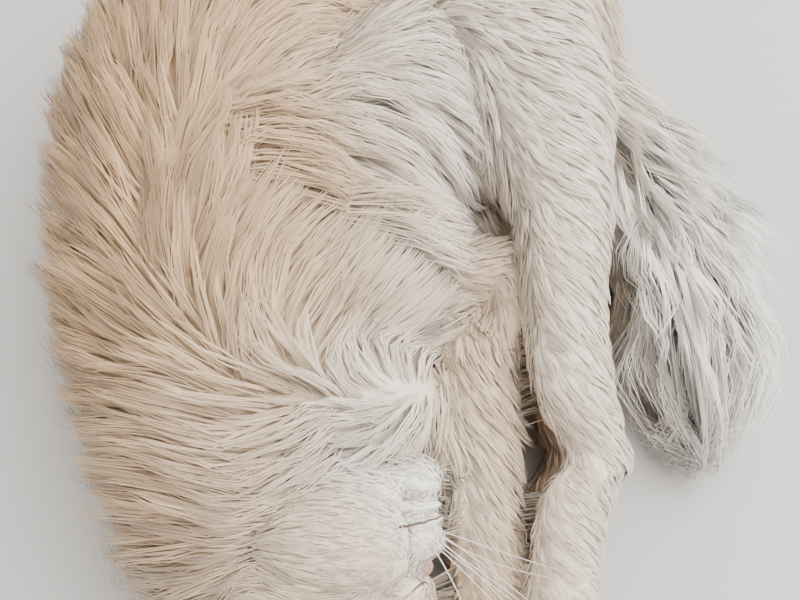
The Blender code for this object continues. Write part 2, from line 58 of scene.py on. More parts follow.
# The body's lengths as in the solids: x, y, z of stations, then half depth and half thickness.
TRUNK = (
    (-0.060, -0.082, 0.046, 0.036, 0.036),
    (-0.063, -0.062, 0.047, 0.042, 0.042),
    (-0.068, -0.030, 0.050, 0.050, 0.047),
    (-0.074, 0.010, 0.054, 0.060, 0.052),
    (-0.079, 0.055, 0.055, 0.064, 0.054),
    (-0.084, 0.105, 0.054, 0.065, 0.053),
    (-0.070, 0.152, 0.053, 0.063, 0.052),
    (-0.026, 0.182, 0.052, 0.059, 0.051),
    (0.026, 0.180, 0.049, 0.052, 0.048),
    (0.064, 0.158, 0.045, 0.037, 0.038),
)
BELLY = (  # x, y, z and the three half sizes
    (-0.022, 0.078, 0.048, 0.050, 0.055, 0.044),
    (0.006, 0.108, 0.050, 0.050, 0.055, 0.043),
    (-0.022, 0.020, 0.045, 0.048, 0.046, 0.040),
    (-0.026, -0.036, 0.040, 0.044, 0.038, 0.038),
    (0.024, 0.052, 0.026, 0.020, 0.024, 0.020),
)
FORELEG_LEFT = (
    (-0.046, -0.004, 0.068, 0.030, 0.021),
    (-0.010, 0.008, 0.052, 0.024, 0.019),
    (0.026, 0.018, 0.050, 0.018, 0.017),
    (0.048, 0.024, 0.052, 0.014, 0.014),
    (0.045, 0.004, 0.048, 0.014, 0.014),
    (0.031, -0.022, 0.045, 0.0190, 0.0155),
    (0.031, -0.052, 0.041, 0.0190, 0.0150),
    (0.033, -0.076, 0.036, 0.0165, 0.0135),
    (0.035, -0.098, 0.031, 0.0160, 0.0115),
    (0.035, -0.110, 0.028, 0.0150, 0.0100),
)
FORELEG_RIGHT = (
    (-0.040, -0.010, 0.028, 0.026, 0.024),
    (0.010, 0.000, 0.017, 0.019, 0.016),
    (0.026, -0.010, 0.0145, 0.0155, 0.0140),
    (0.028, -0.040, 0.0130, 0.0140, 0.0125),
    (0.030, -0.062, 0.0120, 0.0130, 0.0115),
    (0.033, -0.082, 0.0110, 0.0150, 0.0105),
    (0.034, -0.092, 0.0100, 0.0140, 0.0095),
)
HINDLEG_LEFT = (
    (0.048, 0.140, 0.072, 0.043, 0.034),
    (0.061, 0.095, 0.073, 0.034, 0.031),
    (0.068, 0.045, 0.069, 0.023, 0.024),
    (0.067, 0.005, 0.065, 0.0185, 0.0190),
    (0.068, -0.028, 0.058, 0.0180, 0.0160),
    (0.076, -0.050, 0.050, 0.0150, 0.0125),
    (0.076, -0.063, 0.047, 0.0125, 0.0125),
    (0.066, -0.080, 0.047, 0.0150, 0.0135),
    (0.062, -0.104, 0.042, 0.0150, 0.0130),
    (0.060, -0.122, 0.036, 0.0165, 0.0125),
)
HINDLEG_RIGHT = (
    (0.040, 0.138, 0.030, 0.036, 0.029),
    (0.052, 0.090, 0.026, 0.031, 0.025),
    (0.058, 0.040, 0.021, 0.025, 0.021),
    (0.062, 0.000, 0.018, 0.019, 0.017),
    (0.072, -0.032, 0.015, 0.0150, 0.0140),
    (0.074, -0.050, 0.0135, 0.0125, 0.0120),
    (0.066, -0.070, 0.0135, 0.0145, 0.0125),
    (0.062, -0.094, 0.0125, 0.0145, 0.0120),
    (0.060, -0.112, 0.0120, 0.0160, 0.0115),
)
TAIL = (
    (0.078, 0.150, 0.038, 0.020, 0.019),
    (0.102, 0.112, 0.031, 0.0145, 0.0145),
    (0.120, 0.062, 0.028, 0.0140, 0.0140),
    (0.129, 0.012, 0.0265, 0.0130, 0.0130),
    (0.129, -0.014, 0.0245, 0.0100, 0.0100),
)
HEELS = (  # the two points of the hocks
    (0.083, -0.058, 0.046, 0.0105, 0.0105),
    (0.078, -0.042, 0.0135, 0.0110, 0.0115),
)

# The head's own frame: forwards to the nose, left out of the left cheek, up out of the crown.
HEAD_CENTRE = Vector((-0.026, -0.099, 0.0445))
HEAD_YAW = math.radians(6)
HEAD_ROLL = math.radians(18)
SKULL = (  # forward, left, up, and the three half sizes
    (-0.006, 0.0, 0.008, 0.040, 0.042, 0.036),
    (0.016, 0.0, 0.016, 0.025, 0.032, 0.025),
    (0.012, 0.0, -0.004, 0.027, 0.036, 0.024),
    (0.0275, 0.0, 0.0095, 0.0105, 0.0085, 0.0110),
    (0.0345, 0.0, -0.0280, 0.0135, 0.0150, 0.0120),
    (0.018, 0.0, -0.0285, 0.0200, 0.0190, 0.0120),
)
PAIRED_SKULL = (
    (0.002, 0.018, -0.008, 0.032, 0.028, 0.027),
    (0.020, 0.017, 0.021, 0.016, 0.017, 0.012),
    (0.0335, 0.0105, -0.0070, 0.0125, 0.0140, 0.0100),
    (0.0345, 0.0090, -0.0140, 0.0100, 0.0125, 0.0028),
    (0.010, 0.016, -0.0245, 0.0220, 0.0140, 0.0120),
    (0.0340, 0.0080, -0.0190, 0.0105, 0.0115, 0.0028),
)
EYE_PLACE = Vector((0.0250, 0.0200, 0.0105))
EYE_SIZE = (0.0115, 0.0110, 0.0095)
NOSE_PLACE = Vector((0.0345, 0.0, 0.0035))
NOSE_SIZE = (0.0040, 0.0052, 0.0044)
EARS = (  # base, the way that it stands and the way that its cup faces, in the head's frame
    ((-0.021, 0.029, 0.028), (-0.10, 0.54, 0.83), (0.82, 0.48, -0.20)),
    ((-0.018, -0.019, 0.032), (-0.10, 0.28, 0.95), (0.75, -0.70, 0.10)),
)
EAR_HEIGHT = 0.034
EAR_WIDTH = 0.034
EAR_TURN = math.radians(75)
EAR_THICKNESS = 0.0022
TOE_SPREAD = 0.0072
TOE_SIZE = (0.0085, 0.0046, 0.0058)
PAW_VOXEL = 0.0011

# Lines on the face, in the head's frame; each is laid on the skin, on both cheeks.
MOUTH = (
    (0.0470, 0.0000, -0.0150),
    (0.0450, 0.0060, -0.0158),
    (0.0430, 0.0120, -0.0157),
    (0.0405, 0.0174, -0.0154),
    (0.0340, 0.0230, -0.0150),
    (0.0256, 0.0310, -0.0147),
)
PHILTRUM = ((0.0440, 0.0, 0.0000), (0.0460, 0.0, -0.0060), (0.0470, 0.0, -0.0150))
LIDS = (
    (0.0365, 0.0112, 0.0082),
    (0.0370, 0.0160, 0.0056),
    (0.0355, 0.0215, 0.0046),
    (0.0320, 0.0270, 0.0056),
    (0.0270, 0.0310, 0.0086),
)
LINE_CLEARANCE = 0.0007  # no hair is rooted this near to a line of the face
WHISKER_ROOTS = (  # in the head's frame, then the way that each whisker points and its length
    ((0.0420, 0.0150, -0.0050), (0.72, 0.10, 0.68), 0.056),
    ((0.0400, 0.0180, -0.0045), (0.60, 0.25, 0.76), 0.060),
    ((0.0380, 0.0205, -0.0050), (0.48, 0.40, 0.78), 0.054),
    ((0.0425, 0.0150, -0.0080), (0.80, 0.15, 0.55), 0.060),
    ((0.0405, 0.0185, -0.0075), (0.70, 0.30, 0.62), 0.064),
    ((0.0380, 0.0210, -0.0080), (0.58, 0.48, 0.64), 0.057),
    ((0.0425, 0.0155, -0.0108), (0.86, 0.20, 0.40), 0.046),
    ((0.0400, 0.0190, -0.0105), (0.76, 0.38, 0.48), 0.052),
    ((0.0270, 0.0230, 0.0220), (0.60, 0.45, 0.75), 0.030),
    ((0.0250, 0.0260, 0.0220), (0.50, 0.55, 0.75), 0.034),
    ((0.0235, 0.0285, 0.0205), (0.40, 0.70, 0.65), 0.028),
)
NOSTRIL = (0.0380, 0.0030, 0.0025)

DENTS = (  # hollows of the skin: a line of places in the tables' frame, its reach and its depth
    (((0.0230, 0.0130, 0.0630), (0.0312, 0.0080, 0.0584), (0.0345, -0.0040, 0.0580)), 0.0070, 0.0040),
    (((0.0409, -0.0450, 0.0517), (0.0560, -0.0560, 0.0540), (0.0690, -0.0647, 0.0558)), 0.0026, 0.0020),
)

# How far the skin lies inside the tables' surface, which is the outside of the short fur.
LEG_INSET = 0.0035
PAW_INSET = 0.0018
HEAD_INSET = 0.0030

BODY_VOXEL = 0.0024
HEAD_VOXEL = 0.0011

# How the coat lies, seen from above: x, y and the way that the hair points there.
LIE = (
    (-0.143, 0.114, -0.35, 1.00),
    (-0.139, 0.041, -0.50, 0.85),
    (-0.130, -0.010, -0.60, 0.65),
    (-0.109, -0.012, -0.55, 0.75),
    (-0.120, -0.050, -1.00, 0.20),
    (-0.102, -0.073, -1.00, 0.00),
    (-0.088, -0.101, -1.00, -0.25),
    (-0.078, -0.070, -0.90, 0.30),
    (-0.078, -0.045, -0.75, 0.50),
    (-0.105, 0.012, -0.40, 0.90),
    (-0.103, 0.045, -0.35, 0.95),
    (-0.070, 0.002, 0.15, 1.00),
    (-0.072, 0.028, 0.20, 1.00),
    (-0.058, -0.030, 0.05, 1.00),
    (-0.025, -0.024, 0.25, 1.00),
    (-0.008, -0.010, 0.45, 0.85),
    (-0.036, -0.052, -0.85, -0.45),
    (0.000, -0.053, -0.70, -0.65),
    (-0.045, -0.039, -0.90, 0.45),
    (-0.018, -0.036, -0.75, 0.55),
    (-0.087, 0.065, -0.15, 1.00),
    (-0.078, 0.085, 0.05, 1.00),
    (-0.055, 0.088, 0.45, 0.85),
    (-0.035, 0.080, 0.90, -0.05),
    (-0.068, 0.052, 0.85, 0.15),
    (-0.048, 0.044, 0.96, -0.22),
    (-0.027, 0.040, 0.95, -0.28),
    (-0.048, 0.070, 0.90, -0.20),
    (-0.015, 0.070, 0.90, -0.45),
    (-0.005, 0.032, 0.93, -0.36),
    (-0.053, 0.014, 0.40, 0.90),
    (-0.025, 0.010, 0.60, 0.75),
    (0.008, 0.066, 0.75, -0.60),
    (0.032, 0.053, 0.60, -0.80),
    (0.033, 0.097, 0.70, -0.60),
    (0.014, 0.024, 0.88, -0.45),
    (-0.020, 0.130, 0.80, 0.15),
    (0.020, 0.190, 0.95, 0.30),
    (-0.100, 0.140, -0.20, 1.00),
    (-0.060, 0.200, 0.20, 1.00),
    (0.080, 0.150, 0.85, -0.50),
)
LIE_SOFTNESS = 0.00004
DROOP = 0.35  # how strongly the coat also points to the floor
TAIL_SPLAY = (0.90, 1.15)  # how far the tail's hair stands out, at its root and at its end
FOLD = (  # the belly lies over the shoulder along this line: x and y, from above
    (-0.085, 0.052),
    (-0.069, 0.042),
    (-0.056, 0.034),
    (-0.044, 0.030),
    (-0.026, 0.026),
    (-0.011, 0.021),
    (0.001, 0.017),
    (0.034, 0.010),
)
FOLD_REACH = 0.022
FOLD_LIFT = 0.8  # how much deeper the coat is along the fold
TUFT_END = (0.018, 0.022)  # the belly's coat ends in a point here, over the elbow
TUFT_REACH = 0.035
RELIEF = (  # lines of x and y with their reach, and how much deeper or thinner the coat is there
    (((-0.0900, 0.042), (-0.0875, 0.012), (-0.0835, -0.004)), 0.0060, -0.55),
    (((-0.1080, -0.008), (-0.0850, -0.030), (-0.0600, -0.042)), 0.0100, 0.25),
    (((-0.0950, -0.032), (-0.0750, -0.052), (-0.0600, -0.058)), 0.0070, -0.20),
)
WHORL = (-0.0254, 0.030, -0.0165)  # where the cheek's hair runs together, in the head's frame
WHORL_REACH = 0.045
WHORL_PULL = 0.025

# The hair of each part, at even steps along it: length, depth of the coat, spacing of locks, spacing of
# wisps, how far the hair gathers into its lock, width of a fine strand, strands on a square centimetre.
HAIR = {
    "trunk": (
        (0.042, 0.021, 0.0120, 0.0046, 0.40, 0.00047, 32),
        (0.034, 0.016, 0.0120, 0.0046, 0.42, 0.00047, 32),
        (0.030, 0.013, 0.0120, 0.0046, 0.42, 0.00047, 32),
        (0.032, 0.013, 0.0130, 0.0046, 0.40, 0.00047, 30),
    ),
    "belly": ((0.034, 0.014, 0.0160, 0.0050, 0.30, 0.00046, 37),),
    "tail": (
        (0.044, 0.026, 0.0130, 0.0050, 0.20, 0.00048, 58),
        (0.052, 0.038, 0.0140, 0.0050, 0.15, 0.00048, 86),
    ),
    "foreleg_left": (
        (0.018, 0.007, 0.0120, 0.0045, 0.40, 0.00044, 38),
        (0.0105, 0.0028, 0.0110, 0.0040, 0.30, 0.00042, 44),
        (0.0100, 0.0028, 0.0080, 0.0035, 0.25, 0.00040, 54),
        (0.0140, 0.0048, 0.0070, 0.0032, 0.40, 0.00042, 48),
        (0.0085, 0.0022, 0.0060, 0.0030, 0.30, 0.00040, 60),
        (0.005, 0.0013, 0.0050, 0.0024, 0.25, 0.00034, 95),
    ),
    "foreleg_right": (
        (0.022, 0.006, 0.0110, 0.0040, 0.40, 0.00048, 22),
        (0.0074, 0.0025, 0.0050, 0.0024, 0.20, 0.00044, 50),
    ),
    "hindleg_left": (
        (0.020, 0.006, 0.0120, 0.0045, 0.35, 0.00044, 38),
        (0.013, 0.0032, 0.0100, 0.0040, 0.30, 0.00044, 40),
        (0.0110, 0.0024, 0.0090, 0.0038, 0.30, 0.00042, 46),
        (0.0085, 0.0020, 0.0080, 0.0034, 0.30, 0.00040, 56),
        (0.005, 0.0013, 0.0050, 0.0024, 0.25, 0.00034, 95),
    ),
    "hindleg_right": (
        (0.020, 0.006, 0.0110, 0.0040, 0.35, 0.00048, 20),
        (0.0074, 0.0025, 0.0050, 0.0024, 0.20, 0.00044, 55),
    ),
    "head": (
        (0.0030, 0.0008, 0.0050, 0.0022, 0.20, 0.00028, 230),
        (0.0095, 0.0024, 0.0060, 0.0028, 0.20, 0.00034, 100),
        (0.0240, 0.0070, 0.0100, 0.0036, 0.35, 0.00040, 56),
    ),
}
HAIR_FIELDS = ("length", "depth", "lock", "wisp", "gather", "width", "crowd")
BLEND_WIDTH = 0.009  # how far the hair of one part runs over into the next
RINGS = 5  # points along a strand, root and tip included
SHORT_HAIR = 0.0075  # strands below this length have fewer rings
BROAD_SHARE = 0.25  # this share of the strands are flat tufts, the rest are fine ones that lie over them
BROAD_WIDTH = 2.7  # width of a flat tuft, in fine strands
PIECE_TRIANGLES = 190000


def smooth_path(stations, count):
    """Points on a Catmull-Rom curve through the stations, with their half sizes carried along."""
    rows = [Vector(row) for row in stations]
    rows = [rows[0] * 2 - rows[1], *rows, rows[-1] * 2 - rows[-2]]
    spans = len(stations) - 1
    found = []
    for step in range(count):
        place = step * spans / (count - 1)
        span = min(int(place), spans - 1)
        t = place - span
        a, b, c, d = rows[span : span + 4]
        found.append(
            (b * 2 + (c - a) * t + (a * 2 - b * 5 + c * 4 - d) * t**2 + (b * 3 - a - c * 3 + d) * t**3) * 0.5
        )
    return found


def limb_frames(stations, balls_per_span=5):
    """Centre, axes (along, side, above) and half sizes at each step of a limb."""
    path = smooth_path(stations, balls_per_span * (len(stations) - 1) + 1)
    found = []
    for i, row in enumerate(path):
        ahead, behind = path[min(i + 1, len(path) - 1)], path[max(i - 1, 0)]
        along = Vector((ahead - behind)[:3]).normalized()
        side = along.cross(WORLD_UP).normalized()
        sizes = (min(row[3], row[4]), row[3], row[4])
        found.append((Vector(row[:3]) - ORIGIN, (along, side, side.cross(along)), sizes))
    return found


def unit_sphere(segments):
    """Corners and faces of a ball of radius one."""
    mesh = bmesh.new()
    bmesh.ops.create_uvsphere(mesh, u_segments=segments, v_segments=segments * 3 // 5, radius=1)
    corners = np.array([vertex.co for vertex in mesh.verts])
    faces = [[vertex.index for vertex in face.verts] for face in mesh.faces]
    mesh.free()
    return corners, faces


def add_ball(balls, centre, axes, sizes, inset=0.0):
    balls.append((np.array(centre), np.array([list(axis) for axis in axes]), np.array(sizes) - inset))


def head_axes():
    """The head's forward, left and up directions in the part's frame."""
    forward = Vector((math.cos(HEAD_YAW), math.sin(HEAD_YAW), 0))
    chin_side = Vector((-forward.y, forward.x, 0))
    left = (WORLD_UP * math.cos(HEAD_ROLL) - chin_side * math.sin(HEAD_ROLL)).normalized()
    return forward, left, forward.cross(left)


def head_direction(way):
    return sum((axis * part for axis, part in zip(head_axes(), way)), Vector()).normalized()


def head_point(place):
    forward, left, above = head_axes()
    return HEAD_CENTRE - ORIGIN + forward * place[0] + left * place[1] + above * place[2]


def new_object(name, mesh):
    obj = bpy.data.objects.new(name, mesh)
    bpy.context.scene.collection.objects.link(obj)
    return obj


def from_bmesh(name, mesh):
    data = bpy.data.meshes.new(name)
    mesh.to_mesh(data)
    mesh.free()
    return new_object(name, data)


def applied(obj):
    """Replaces the object's mesh with what its modifiers make of it."""
    graph = bpy.context.evaluated_depsgraph_get()
    made = bpy.data.meshes.new_from_object(obj.evaluated_get(graph))
    obj.modifiers.clear()
    old = obj.data
    obj.data = made
    bpy.data.meshes.remove(old)
    return obj


def fused(name, balls, voxel, smoothing, segments=20, sheets=()):
    """One closed, smoothed skin over the balls and sheets."""
    corners, faces = unit_sphere(segments)
    points, polygons = [], []
    for centre, axes, sizes in balls:
        polygons += [[len(points) + i for i in face] for face in faces]
        points += ((corners * sizes) @ axes + centre).tolist()
    for sheet in sheets:
        polygons += [[len(points) + i for i in face.vertices] for face in sheet.data.polygons]
        points += [vertex.co[:] for vertex in sheet.data.vertices]
        bpy.data.objects.remove(sheet)
    data = bpy.data.meshes.new(name)
    data.from_pydata(points, [], polygons)
    obj = new_object(name, data)
    remesh = obj.modifiers.new("Fuse", "REMESH")
    remesh.mode = "VOXEL"
    remesh.voxel_size = voxel
    smooth = obj.modifiers.new("Soften", "SMOOTH")
    smooth.factor = 0.5
    smooth.iterations = smoothing
    return applied(obj)


def united(obj, other):
    """Joins the other object into this one and removes it."""
    join = obj.modifiers.new("Join", "BOOLEAN")
    join.operation = "UNION"
    join.solver = "MANIFOLD"
    join.object = other
    applied(obj)
    bpy.data.objects.remove(other)
    return obj


def toe_balls(stations):
    """Four toes fanned out at the end of a paw."""
    end, before = Vector(stations[-1][:3]), Vector(stations[-2][:3])
    along = (end - before).normalized()
    side = along.cross(WORLD_UP).normalized()
    above = side.cross(along)
    found = []
    for place in (-1.5, -0.5, 0.5, 1.5):
        forward = 0.0105 - 0.0016 * abs(place) ** 2
        centre = end + along * forward + side * place * TOE_SPREAD - above * 0.002
        found.append((centre - ORIGIN, (along, side, above), TOE_SIZE))
    return found


def body_skin():
    balls = []
    for stations in (TRUNK, TAIL):
        for ball in limb_frames(stations):
            add_ball(balls, *ball)
    for row in BELLY:
        add_ball(balls, Vector(row[:3]) - ORIGIN, Matrix.Identity(3), row[3:])
    for stations in (FORELEG_LEFT, FORELEG_RIGHT, HINDLEG_LEFT, HINDLEG_RIGHT):
        frames = limb_frames(stations)
        for step, ball in enumerate(frames):
            share = step / (len(frames) - 1)
            add_ball(balls, *ball, LEG_INSET + (PAW_INSET - LEG_INSET) * share)
    for row in HEELS:
        add_ball(balls, Vector(row[:3]) - ORIGIN, Matrix.Identity(3), (row[3], row[3], row[4]), PAW_INSET)
    return fused("body_skin", balls, BODY_VOXEL, 4)


def paw_skin(stations):
    """The end of a leg with its toes, fine enough for the gaps between them."""
    balls = []
    for ball in limb_frames(stations)[-6:]:
        add_ball(balls, *ball, PAW_INSET)
    for ball in toe_balls(stations):
        add_ball(balls, *ball, PAW_INSET / 3)
    return fused("paw_skin", balls, PAW_VOXEL, 2)


def ear_sheet(base, stands, faces):
    """A rounded, cupped ear: an open curved sheet given thickness."""
    outward = head_direction(stands)
    front = head_direction(faces)
    front = (front - outward * front.dot(outward)).normalized()
    across = outward.cross(front)
    base = head_point(base)
    mesh = bmesh.new()
    rows, columns = 14, 18
    grid = []
    for r in range(rows):
        height = r / (rows - 1)
        half = EAR_WIDTH / 2 * math.sqrt(max(0.0, 1 - height**2.6)) + 0.0012
        line = []
        for c in range(columns):
            turn = EAR_TURN * (2 * c / (columns - 1) - 1)
            place = (
                base
                + outward * (EAR_HEIGHT * height - 0.006)
                + across * half * math.sin(turn) / math.sin(EAR_TURN)
                - front * half * 0.75 * (math.cos(turn) - 0.26)
                + front * 0.005 * height
            )
            line.append(mesh.verts.new(place))
        grid.append(line)
    for r in range(rows - 1):
        for c in range(columns - 1):
            mesh.faces.new((grid[r][c], grid[r][c + 1], grid[r + 1][c + 1], grid[r + 1][c]))
    obj = from_bmesh("ear", mesh)
    shell = obj.modifiers.new("Thickness", "SOLIDIFY")
    shell.thickness = EAR_THICKNESS
    shell.offset = 0
    return applied(obj)


def head_skin():
    balls = []
    for row in SKULL:
        add_ball(balls, head_point(row[:3]), head_axes(), row[3:], min(HEAD_INSET, row[5] / 4))
    for row in PAIRED_SKULL:
        for side in (-1, 1):
            place = head_point((row[0], row[1] * side, row[2]))
            add_ball(balls, place, head_axes(), row[3:], min(HEAD_INSET, row[5] / 4))
    for side in (-1, 1):
        place = head_point((EYE_PLACE.x, EYE_PLACE.y * side, EYE_PLACE.z))
        add_ball(balls, place, head_axes(), EYE_SIZE, HEAD_INSET - 0.0006)
    return fused("head_skin", balls, HEAD_VOXEL, 3, 32, [ear_sheet(*ear) for ear in EARS])


def build_skin():
    """The whole skin as one closed mesh, flat where it lies on the floor, with its own unwrap."""
    skin = united(body_skin(), head_skin())
    for stations in (FORELEG_LEFT, FORELEG_RIGHT, HINDLEG_LEFT, HINDLEG_RIGHT):
        united(skin, paw_skin(stations))
    skin.name = "skin"
    count = len(skin.data.vertices)
    places = np.empty(count * 3)
    skin.data.vertices.foreach_get("co", places)
    places = places.reshape(-1, 3)
    normals = np.empty(count * 3)
    skin.data.vertices.foreach_get("normal", normals)
    for line, reach, depth in DENTS:
        near = np.exp(-((polyline_distance(places + np.array(ORIGIN), line) / reach) ** 2))
        places -= normals.reshape(-1, 3) * (near * depth)[:, None]
    places[:, 2] = np.maximum(places[:, 2], FLOOR_CLEARANCE)
    skin.data.vertices.foreach_set("co", places.ravel())
    triangles = skin.modifiers.new("Triangles", "TRIANGULATE")
    triangles.quad_method = "SHORTEST_DIAGONAL"
    applied(skin)
    skin.data.shade_smooth()
    while skin.data.uv_layers:
        skin.data.uv_layers.remove(skin.data.uv_layers[0])
    skin.data.uv_layers.new(name="OFBake")
    bpy.context.view_layer.objects.active = skin
    skin.select_set(True)
    bpy.ops.object.mode_set(mode="EDIT")
    bpy.ops.mesh.select_all(action="SELECT")
    bpy.ops.uv.smart_project(angle_limit=math.radians(66), island_margin=0.002)
    bpy.ops.object.mode_set(mode="OBJECT")
    skin.select_set(False)
    return skin


def ear_cup(points, normals):
    """How far each point of the skin belongs to the bare inside of an ear."""
    found = np.zeros(len(points))
    for base, stands, faces in EARS:
        outward = head_direction(stands)
        front = head_direction(faces)
        front = (front - outward * front.dot(outward)).normalized()
        across = outward.cross(front)
        local = (points - np.array(head_point(base))) @ np.array([outward, front, across]).T
        facing = np.clip((normals @ np.array(front) - 0.15) / 0.4, 0, 1)
        inside = (local[:, 0] > 0.001) & (local[:, 0] < EAR_HEIGHT * 0.80) & (abs(local[:, 2]) < EAR_WIDTH * 0.40)
        near = (local[:, 1] > -0.016) & (local[:, 1] < 0.008)
        found = np.maximum(found, facing * inside * near)
    return found


class Limb:
    """The balls of one part as arrays: how far a point is from it, and which step is nearest."""

    def __init__(self, balls):
        self.centres = np.array([ball[0] for ball in balls])
        self.axes = np.array([[list(axis) for axis in ball[1]] for ball in balls])
        self.sizes = np.array([ball[2] for ball in balls])

    def nearest(self, points):
        """Distance outside the surface, about, and the share of the way along the limb."""
        best = np.full(len(points), 9.0)
        step = np.zeros(len(points), int)
        for i, (centre, axes, sizes) in enumerate(zip(self.centres, self.axes, self.sizes)):
            local = (points - centre) @ axes.T / sizes
            distance = (np.linalg.norm(local, axis=1) - 1) * sizes.min()
            closer = distance < best
            best[closer] = distance[closer]
            step[closer] = i
        return best, step


def unit(vectors):
    return vectors / np.maximum(np.linalg.norm(vectors, axis=1, keepdims=True), 1e-9)


def unit_rows(vectors):
    return vectors / np.maximum(np.linalg.norm(vectors, axis=2, keepdims=True), 1e-9)


def head_balls():
    rows = [(row, 1) for row in SKULL] + [(row, side) for row in PAIRED_SKULL for side in (-1, 1)]
    return [(head_point((row[0], row[1] * side, row[2])), head_axes(), row[3:]) for row, side in rows]


def make_limbs():
    belly = [(Vector(row[:3]) - ORIGIN, Matrix.Identity(3), row[3:]) for row in BELLY]
    return {
        "trunk": Limb(limb_frames(TRUNK)),
        "belly": Limb(belly),
        "tail": Limb(limb_frames(TAIL)),
        "foreleg_left": Limb(limb_frames(FORELEG_LEFT) + toe_balls(FORELEG_LEFT)),
        "foreleg_right": Limb(limb_frames(FORELEG_RIGHT) + toe_balls(FORELEG_RIGHT)),
        "hindleg_left": Limb(limb_frames(HINDLEG_LEFT) + toe_balls(HINDLEG_LEFT)),
        "hindleg_right": Limb(limb_frames(HINDLEG_RIGHT) + toe_balls(HINDLEG_RIGHT)),
        "head": Limb(head_balls()),
    }


def fold_height(flat):
    """How far each place is above the belly's fold, and how much the fold counts there."""
    line = np.array(FOLD)
    height = flat[:, 1] - np.interp(flat[:, 0], line[:, 0], line[:, 1])
    start, end = line[0, 0], line[-1, 0]
    share = np.clip((flat[:, 0] - start) / 0.015, 0, 1) * np.clip((end - flat[:, 0]) / 0.015, 0, 1)
    return height, share


def trunk_way(points, over):
    """The table's lie; along the fold, each side keeps to its own rows."""
    rows = np.array(LIE)
    flat = points[:, :2] + np.array(ORIGIN[:2])
    weight = 1 / (((flat[:, None] - rows[None, :, :2]) ** 2).sum(axis=2) + LIE_SOFTNESS) ** 1.5
    rows_over = fold_height(rows[:, :2])[0] > 0
    _, share = fold_height(flat)
    weight *= 1 - share[:, None] * (rows_over[None, :] != over[:, None])
    way = (weight[:, :, None] * rows[None, :, 2:]).sum(axis=1)
    way = unit(np.column_stack((way, np.zeros(len(points)))))
    way[:, 2] = -DROOP
    return way


def tail_way(limb, points, step):
    """Along the tail and out from its middle line."""
    outward = unit(points - limb.centres[step])
    share = (step / (len(limb.centres) - 1))[:, None]
    return limb.axes[step, 0] + outward * (TAIL_SPLAY[0] + (TAIL_SPLAY[1] - TAIL_SPLAY[0]) * share)


def leg_way(limb, points, step, crossing):
    """Down the leg and round it towards its back, more so where the crossing is larger."""
    share = step / (len(limb.centres) - 1)
    across = np.interp(share, np.linspace(0, 1, len(crossing)), crossing)
    back = np.array([1.0, 0.0, -0.3])
    return limb.axes[step, 0] + back * across[:, None]


def head_way(points):
    """Back from the nose over the face, together at the whorl and apart again behind it."""
    forward = np.array(head_axes()[0])
    middle = np.array(head_point((0, 0, -0.004)))
    from_middle = points - middle
    reach = from_middle @ forward
    radial = unit(from_middle - reach[:, None] * forward)
    opening = np.clip((reach - 0.005) / 0.040, 0, 1)[:, None]
    above = np.array(head_axes()[2])
    below_mouth = np.clip((-0.015 - (points - np.array(head_point((0, 0, 0)))) @ above) / 0.005, 0, 1)[:, None]
    opening = opening * (1 - 0.75 * below_mouth)
    way = -forward * (1.0 - 0.55 * opening) + radial * (0.80 * opening + 0.15)
    off = points - np.array(head_point(WHORL))
    ahead = off @ forward
    lateral = off - ahead[:, None] * forward
    near = np.exp(-(off**2).sum(axis=1) / WHORL_REACH**2)
    turn = np.tanh(ahead / 0.008)
    return way - lateral / WHORL_PULL * (near * turn)[:, None]


CROSSINGS = {  # how far the hair crosses each leg, from the hip or shoulder to the toes
    "foreleg_left": (0.3, 0.3, 0.5, 0.7, 0.6, 0.3),
    "foreleg_right": (0.2, 0.2, 0.3),
    "hindleg_left": (0.6, 1.2, 0.9, 0.8, 1.6, 1.2),
    "hindleg_right": (0.3, 0.5, 0.6, 0.8),
}
SHOULDER_SHARE = 0.22  # this far down a leg the hair still lies as the trunk's does


def coat_way(limbs, points, shares, steps, over):
    """The direction in which the coat lies at each point, from the parts near it."""
    trunk = unit(trunk_way(points, over))
    whorl = np.array(head_point(WHORL))
    way = np.zeros_like(points)
    for name, limb in limbs.items():
        if name in ("trunk", "belly"):
            found = trunk
        elif name == "tail":
            found = unit(tail_way(limb, points, steps[name]))
        elif name == "head":
            found = unit(head_way(points))
        else:
            found = unit(leg_way(limb, points, steps[name], CROSSINGS[name]))
            share = steps[name] / (len(limb.centres) - 1)
            own = np.clip((share - SHOULDER_SHARE + 0.08) / 0.10, 0, 1)[:, None]
            found = trunk * (1 - own) + found * own
        way += shares[name][:, None] * found
    near = np.exp(-((points - whorl) ** 2).sum(axis=1) / WHORL_REACH**2)[:, None]
    return unit(way) * (1 - near) + unit(head_way(points)) * near


def part_shares(limbs, points, width=BLEND_WIDTH):
    """How much each part counts at each point, and the nearest step of each."""
    distances, steps = {}, {}
    for name, limb in limbs.items():
        distances[name], steps[name] = limb.nearest(points)
    least = np.min(list(distances.values()), axis=0)
    shares = {name: np.exp(-(distance - least) / width * 2) for name, distance in distances.items()}
    total = sum(shares.values())
    return {name: share / total for name, share in shares.items()}, steps


def polyline_distance(points, line):
    """How far each point is from a line of places, in the plane or in space."""
    nearest = np.full(len(points), 9.0)
    for start, end in zip(np.array(line[:-1]), np.array(line[1:])):
        span = end - start
        share = np.clip((points - start) @ span / (span @ span), 0, 1)
        nearest = np.minimum(nearest, np.linalg.norm(points - start - share[:, None] * span, axis=1))
    return nearest


def relief(flat):
    """How much deeper or thinner the coat is at each place, from the table of lines."""
    found = np.zeros(len(flat))
    for line, reach, change in RELIEF:
        found += change * np.exp(-((polyline_distance(flat, line) / reach) ** 2))
    return found


